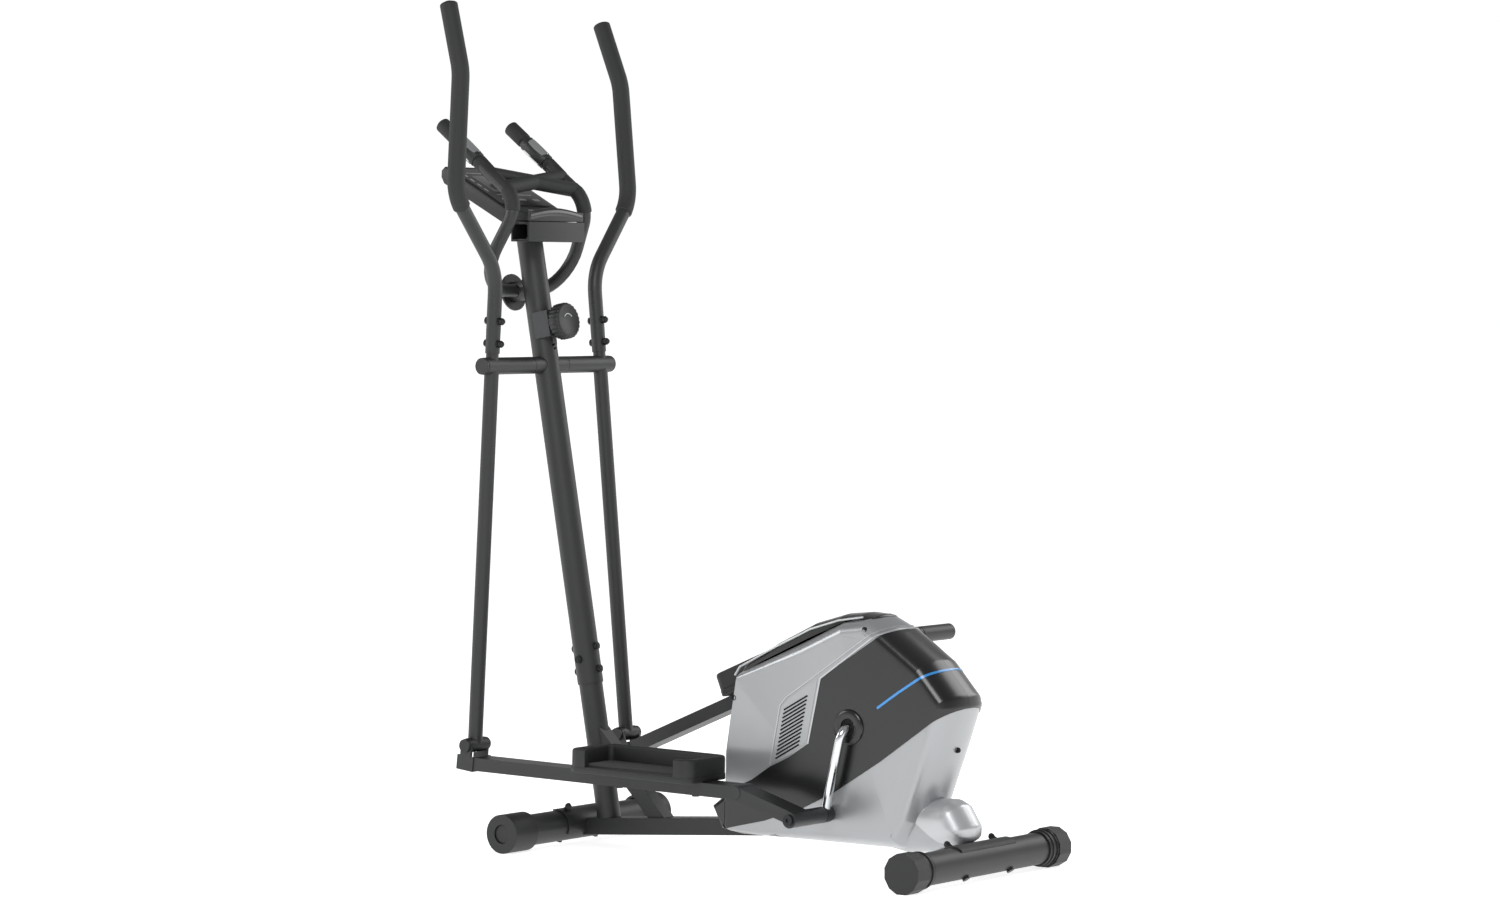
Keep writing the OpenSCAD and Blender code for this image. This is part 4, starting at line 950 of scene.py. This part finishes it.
@dataclass
class Pedals:
    """Foot pedal with a ribbed tread between low walls."""

    side: Side
    start: float = 286
    length: float = 286
    width: float = 128
    inner_y: float = 107
    floor: float = 12.7

    def build(self) -> list[bpy.types.Object]:
        """Builds walls, tread plate and tread ribs of one pedal."""
        s, place = self.side.value, LINK.on_tube(self.side)
        mid_y = self.inner_y + self.width / 2 - LINK.arm_y

        def flat(x: float, y: float, h: float) -> Vector:
            """Place a point on the pedal."""
            return place((self.start + self.length / 2 + x, s * (mid_y + y), h))

        tray = rounded_plate(f"pedal_floor_{self.side.tag}",
                             corner_box(self.length - 2, self.width - 2, 19), self.floor,
                             self.floor + 12, flat, GRAINED_BLACK, 2.0)
        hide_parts(f"pedal_{self.side.tag}")
        walls = self.walls(flat)
        rib = rounded_plate("rib", corner_box(2.4, self.width - 42, 1.1, 2), self.floor + 11.5,
                            self.floor + 14.2, lambda x, y, h: flat(x - 122, y - 2, h),
                            RUBBER, 0.6)
        step = place((self.start + 6.2, 0, 0)) - place((self.start, 0, 0))
        ribs = repeated(f"tread_{self.side.tag}", rib, 40, step, RUBBER)
        return [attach(o, f"pedal_arm_assembly_{self.side.tag}") for o in (tray, walls, ribs)]

    def walls(self, flat: Callable[[float, float, float], Vector]) -> bpy.types.Object:
        """Wall that runs round the pedal and is open on its outer side."""
        half_l, half_w, r = self.length / 2 - 6.5, self.width / 2 - 6.5, 17.0
        path = [(-half_l + 36, half_w), (-half_l + r, half_w)]
        for cx, cy, a0 in ((-half_l + r, half_w - r, 90), (-half_l + r, -half_w + r, 180),
                           (half_l - r, -half_w + r, 270), (half_l - r, half_w - r, 0)):
            for k in range(9):
                a = math.radians(a0 + 90 * k / 8)
                path.append((cx + r * math.cos(a), cy + r * math.sin(a)))
        path += [(half_l - 30, half_w)]
        section = [(-6, 0), (-6, 28), (-5, 31.5), (-2.5, 33), (2.5, 33), (5, 31.5), (6, 28),
                   (6, 0)]
        verts, faces = [], []
        n = len(section)
        for i, p in enumerate(path):
            a, b = path[max(i - 1, 0)], path[min(i + 1, len(path) - 1)]
            t = Vector((b[0] - a[0], b[1] - a[1])).normalized()
            for q, h in section:
                verts.append(flat(p[0] - t.y * q, p[1] + t.x * q, self.floor + 11 + h))
            if i:
                o = (i - 1) * n
                faces += [[o + k, o + (k + 1) % n, o + n + (k + 1) % n, o + n + k]
                          for k in range(n)]
        faces.append(list(range(n)))
        faces.append([(len(path) - 1) * n + k for k in reversed(range(n))])
        return mesh_object(f"pedal_walls_{self.side.tag}", verts, faces, GRAINED_BLACK, 40)


@dataclass
class CrankBars:
    """Chromed crank bars with their eyes."""

    def build(self) -> list[bpy.types.Object]:
        """Builds both bars and both eyes as pieces of the crank set."""
        bars = []
        for side in Side:
            s, pin = side.value, LINK.pin(side)
            path = rounded([(LINK.crank_x, s * 40, LINK.crank_h),
                            (LINK.crank_x, s * 90, LINK.crank_h), (pin.x, s * 90, pin.y)], [26])
            bars.append(sweep("b", path, 8.5, CHROME))
        bars.append(turned("a", [(0, -58), (10, -58), (10, 58), (0, 58)],
                           (LINK.crank_x, 0, LINK.crank_h), Vector((0, 1, 0)), CHROME))
        bar = joined("crank_bars", bars, CHROME)
        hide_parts("crank")
        eyes = [turned("e", [(0, -8.8), (14.4, -8.8), (15, -8), (15, 8), (14.4, 8.8), (0, 8.8)],
                       (LINK.pin(s).x, s.value * 90, LINK.pin(s).y), Vector((0, 1, 0)),
                       ZINC_BLACK) for s in Side]
        eye = joined("crank_eyes", eyes, ZINC_BLACK)
        return [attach(o, "crank_set") for o in (bar, eye)]


@dataclass
class TensionKnob:
    """Fluted resistance knob with a generic turning mark."""

    lean: float = 10
    height: float = 994
    face: float = 70

    def build(self) -> list[bpy.types.Object]:
        """Builds the knob body, its flutes and the printed mark."""
        lean = math.radians(self.lean)
        axis = Vector((math.cos(lean), 0, math.sin(lean)))
        up = Vector((-math.sin(lean), 0, math.cos(lean)))
        across = Vector((0, 1, 0))
        c = Vector(((LINK.pivot_h - self.height) * math.tan(lean), 0, self.height))
        sides, lobes = 144, 24
        profile = [(0.1, 40), (22, 40), (27, 41.5), (27.5, 46), (34, 46.5), (35.2, 48),
                   (35.2, 66), (33.5, 69), (30, 70), (28.5, 68.8), (0.1, 68.6)]
        verts, faces = [], []
        for i, (r, h) in enumerate(profile):
            for k in range(sides):
                a = 2 * math.pi * k / sides
                cut = 1.6 * max(0.0, math.cos(a * lobes)) if 3 < i < 8 else 0.0
                q = c + axis * h + (r - cut) * (math.cos(a) * up + math.sin(a) * across)
                verts.append(LINK.at(*q))
        for i in range(len(profile) - 1):
            o = i * sides
            faces += [[o + k, o + (k + 1) % sides, o + sides + (k + 1) % sides, o + sides + k]
                      for k in range(sides)]
        faces.append(list(range(sides)))
        faces.append([(len(profile) - 1) * sides + k for k in reversed(range(sides))])
        knob = mesh_object("knob_drum", verts, faces, GRAINED_BLACK, 50)
        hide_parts("tension_knob")
        arc = []
        for k in range(15):
            a = math.radians(-55 + 110 * k / 14)
            arc.append(c + axis * 69 + 13 * (math.cos(a) * up + math.sin(a) * across))
        mark = sweep("knob_mark", arc, 0.9, PRINT_GREY, 8)
        return [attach(o, "knob") for o in (knob, mark)]


@dataclass
class Console:
    """Display console with a window, keys and a glossy lip."""

    half: float = 85
    slope: float = 28.5
    foot: tuple = (-30, 1218.8)
    length: float = 178

    def face(self, x: float, y: float, h: float) -> Vector:
        """Map from the sloping face to the row frame."""
        a = math.radians(self.slope)
        return LINK.at(self.foot[0] - x * math.cos(a) + h * math.sin(a), y,
                       self.foot[1] + x * math.sin(a) + h * math.cos(a))

    def build(self) -> list[bpy.types.Object]:
        """Builds case, window, keys, lip and tray."""
        a = math.radians(self.slope)
        top = (self.foot[0] - self.length * math.cos(a), self.foot[1] + self.length * math.sin(a))
        outline = [(24, 1196.4), (24, 1213.8), self.foot, top, (top[0] - 8, top[1] - 7),
                   (top[0] - 9, top[1] - 20), (top[0] - 2, top[1] - 33), (-36, 1190.8),
                   (-20.5, 1196.2)]
        case = rounded_plate("console_body", outline, -self.half, self.half,
                             lambda x, z, h: LINK.at(x, h, z), GRAINED_BLACK, 3.0, 30)
        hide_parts("console_case")
        plate = rounded_plate("console_face", corner_box(152, 154, 14), -0.5, 1.8,
                              lambda x, y, h: self.face(92 + x, y, h), GLOSS_BLACK, 0.8)
        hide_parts("console_lens")
        window = rounded_plate("lcd", corner_box(66, 100, 4), 1.6, 2.3,
                               lambda x, y, h: self.face(104 + x, y, h), LCD, 0.3)
        marks = [rounded_plate("m", corner_box(w, d, 1.2, 3), 1.5, 2.2,
                               lambda x, y, h, cx=cx, cy=cy: self.face(cx + x, cy + y, h),
                               PRINT_GREY, 0.3)
                 for cx, cy, w, d in ((148, 0, 2.5, 104), (60, 0, 2.5, 104), (40, -46, 8, 18),
                                      (40, 46, 8, 18), (40, 0, 6, 30), (78, -64, 12, 5),
                                      (98, -64, 12, 5), (118, -64, 12, 5), (138, -64, 12, 5))]
        mark = joined("console_marks", marks, PRINT_GREY)
        crown = [Vector((16.5, y, 1203.5 + 9.5 * math.cos(math.pi * y / 166))) for y in
                 range(-82, 83, 4)]
        lip = sweep("console_lip", crown, 9.5, GLOSS_BLACK, dome=4)
        halves = (((26, 1157), (26, 1195), (-3, 1195), (-3, 1190), (19, 1190), (22, 1187),
                   (22, 1165), (19, 1162), (-3, 1162), (-3, 1157)),
                  ((-19, 1157.1), (-19, 1194.9), (1, 1194.9), (1, 1190.1), (-15, 1190.1),
                   (-15, 1161.9), (1, 1161.9), (1, 1157.1)))
        tray = joined("tray_shell",
                      [rounded_plate("t", half, -self.half, self.half,
                                     lambda x, z, h: LINK.at(x, h, z), GRAINED_BLACK, 1.0, 30)
                       for half in halves], GRAINED_BLACK)
        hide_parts("console_tray")
        return [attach(o, "frame") for o in (case, plate, window, mark, lip, tray)]


class CadFinishes:
    """Finishes of the CAD nodes that stay visible as they are."""

    table: dict[Finish, str] = {
        POWDER_COAT: "base_beam lower_post post_brace mast front_stabiliser rear_stabiliser "
                     "drive_mount pivot_axle pivot_collar handlebar_clamp swing_arm_left "
                     "swing_arm_right pedal_arm_left pedal_arm_right",
        # The tension saddle gets the same powder coat in a lighter colour: painted light on its flat
        # faces.
        POWDER_COAT_PAINTED_LIGHTER: "tension_saddle",
        ZINC_BLACK: "mast_bolts stabiliser_bolts handle_bolts_left handle_bolts_right "
                    "crank_pin_left crank_pin_right",
        BRIGHT_STEEL: "crank_bearings magnet_bracket button_mode button_reset",
        CAST_IRON: "flywheel",
        GRAINED_BLACK: "front_axle_plugs levelling_sleeves clamp_cover front_roller_left "
                       "front_roller_right levelling_cap_left levelling_cap_right crank_caps "
                       "drive_pulley clevis_pin_left clevis_pin_right",
        RUBBER: "tension_cable drive_belt",
    }

    def apply(self) -> int:
        """Gives each node its finish.

        Returns:
            Number of nodes that were finished.
        """
        done = 0
        for finish, names in self.table.items():
            for name in names.split():
                finished(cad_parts[name], finish, 30)
                done += 1
        return done


@dataclass
class Studio:
    """Pale floor, soft lights and the camera."""

    azimuth: float = 36.627
    elevation: float = 2.029
    eye: tuple = (5294, -6462, 1050)
    focal_px: float = 4310.28
    frame_px: float = 1500

    def build(self) -> None:
        """Makes the stage pieces and sets the scene's camera."""
        world = bpy.data.worlds.new("studio")
        world.use_nodes = True
        tree = world.node_tree
        back = tree.nodes["Background"]
        coords = tree.nodes.new("ShaderNodeTexCoord")
        split = tree.nodes.new("ShaderNodeSeparateXYZ")
        ramp = tree.nodes.new("ShaderNodeValToRGB")
        stops = ramp.color_ramp.elements
        stops[0].position, stops[0].color = 0.12, (1.0, 1.0, 1.0, 1.0)
        stops[1].position, stops[1].color = 0.3, (0.32, 0.32, 0.32, 1.0)
        tree.links.new(coords.outputs["Generated"], split.inputs["Vector"])
        tree.links.new(split.outputs["Z"], ramp.inputs["Fac"])
        tree.links.new(ramp.outputs["Color"], back.inputs["Color"])
        back.inputs["Strength"].default_value = 1.02
        bpy.context.scene.world = world
        far = 90.0
        floor = mesh_object("floor", [(-far, -far, -0.02), (far, -far, -0.02), (far, far, -0.02),
                                      (-far, far, -0.02), (-far, -far, 0.0), (far, -far, 0.0),
                                      (far, far, 0.0), (-far, far, 0.0)],
                            [(0, 3, 2, 1), (4, 5, 6, 7), (0, 1, 5, 4), (1, 2, 6, 5),
                             (2, 3, 7, 6), (3, 0, 4, 7)],
                            Finish("pale_floor", "#f4f4f4", 0.6))
        glow = floor.data.materials[0].node_tree.nodes["Principled BSDF"]
        glow.inputs["Emission Color"].default_value = (1.0, 1.0, 1.0, 1.0)
        glow.inputs["Emission Strength"].default_value = 0.78
        for name, spot, size, power in (("key", (1.8, -3.4, 3.6), 2.0, 90.0),
                                        ("side", (-3.6, -2.0, 2.4), 1.8, 40.0),
                                        ("rear", (1.5, 3.6, 2.6), 2.4, 50.0)):
            data = bpy.data.lights.new(name, "AREA")
            data.size, data.energy = size, power
            lamp = bpy.data.objects.new(name, data)
            lamp.location = spot
            lamp.rotation_euler = (Vector((0, 0, 0.6)) - Vector(spot)).to_track_quat(
                "-Z", "Y").to_euler()
            bpy.context.scene.collection.objects.link(lamp)
        data = bpy.data.cameras.new("view")
        data.sensor_width = 36.0
        data.lens = self.focal_px / self.frame_px * data.sensor_width
        data.clip_end = 400.0
        cam = bpy.data.objects.new("view", data)
        a, e = math.radians(self.azimuth), math.radians(self.elevation)
        away = Vector((math.sin(a) * math.cos(e), -math.cos(a) * math.cos(e), math.sin(e)))
        cam.location = LINK.at(*self.eye)
        cam.rotation_euler = (-away).to_track_quat("-Z", "Y").to_euler()
        bpy.context.scene.collection.objects.link(cam)
        bpy.context.scene.camera = cam
        bpy.context.scene.view_settings.view_transform = "Standard"


def main() -> None:
    """Builds every piece in order and reports each."""
    logging.basicConfig(level=logging.INFO, format="%(name)s: %(message)s")
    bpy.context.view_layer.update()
    log.info("cad nodes finished: %d", CadFinishes().apply())
    builders = [Housing(), Console(), FixedHandle(), TensionKnob(), CrankBars()]
    for side in Side:
        builders += [SwingHandle(side), Pedals(side)]
    for builder in builders:
        made = builder.build()
        log.info("%s: %s", type(builder).__name__, ", ".join(o.name for o in made))
    Studio().build()


if __name__ == "__main__":
    main()
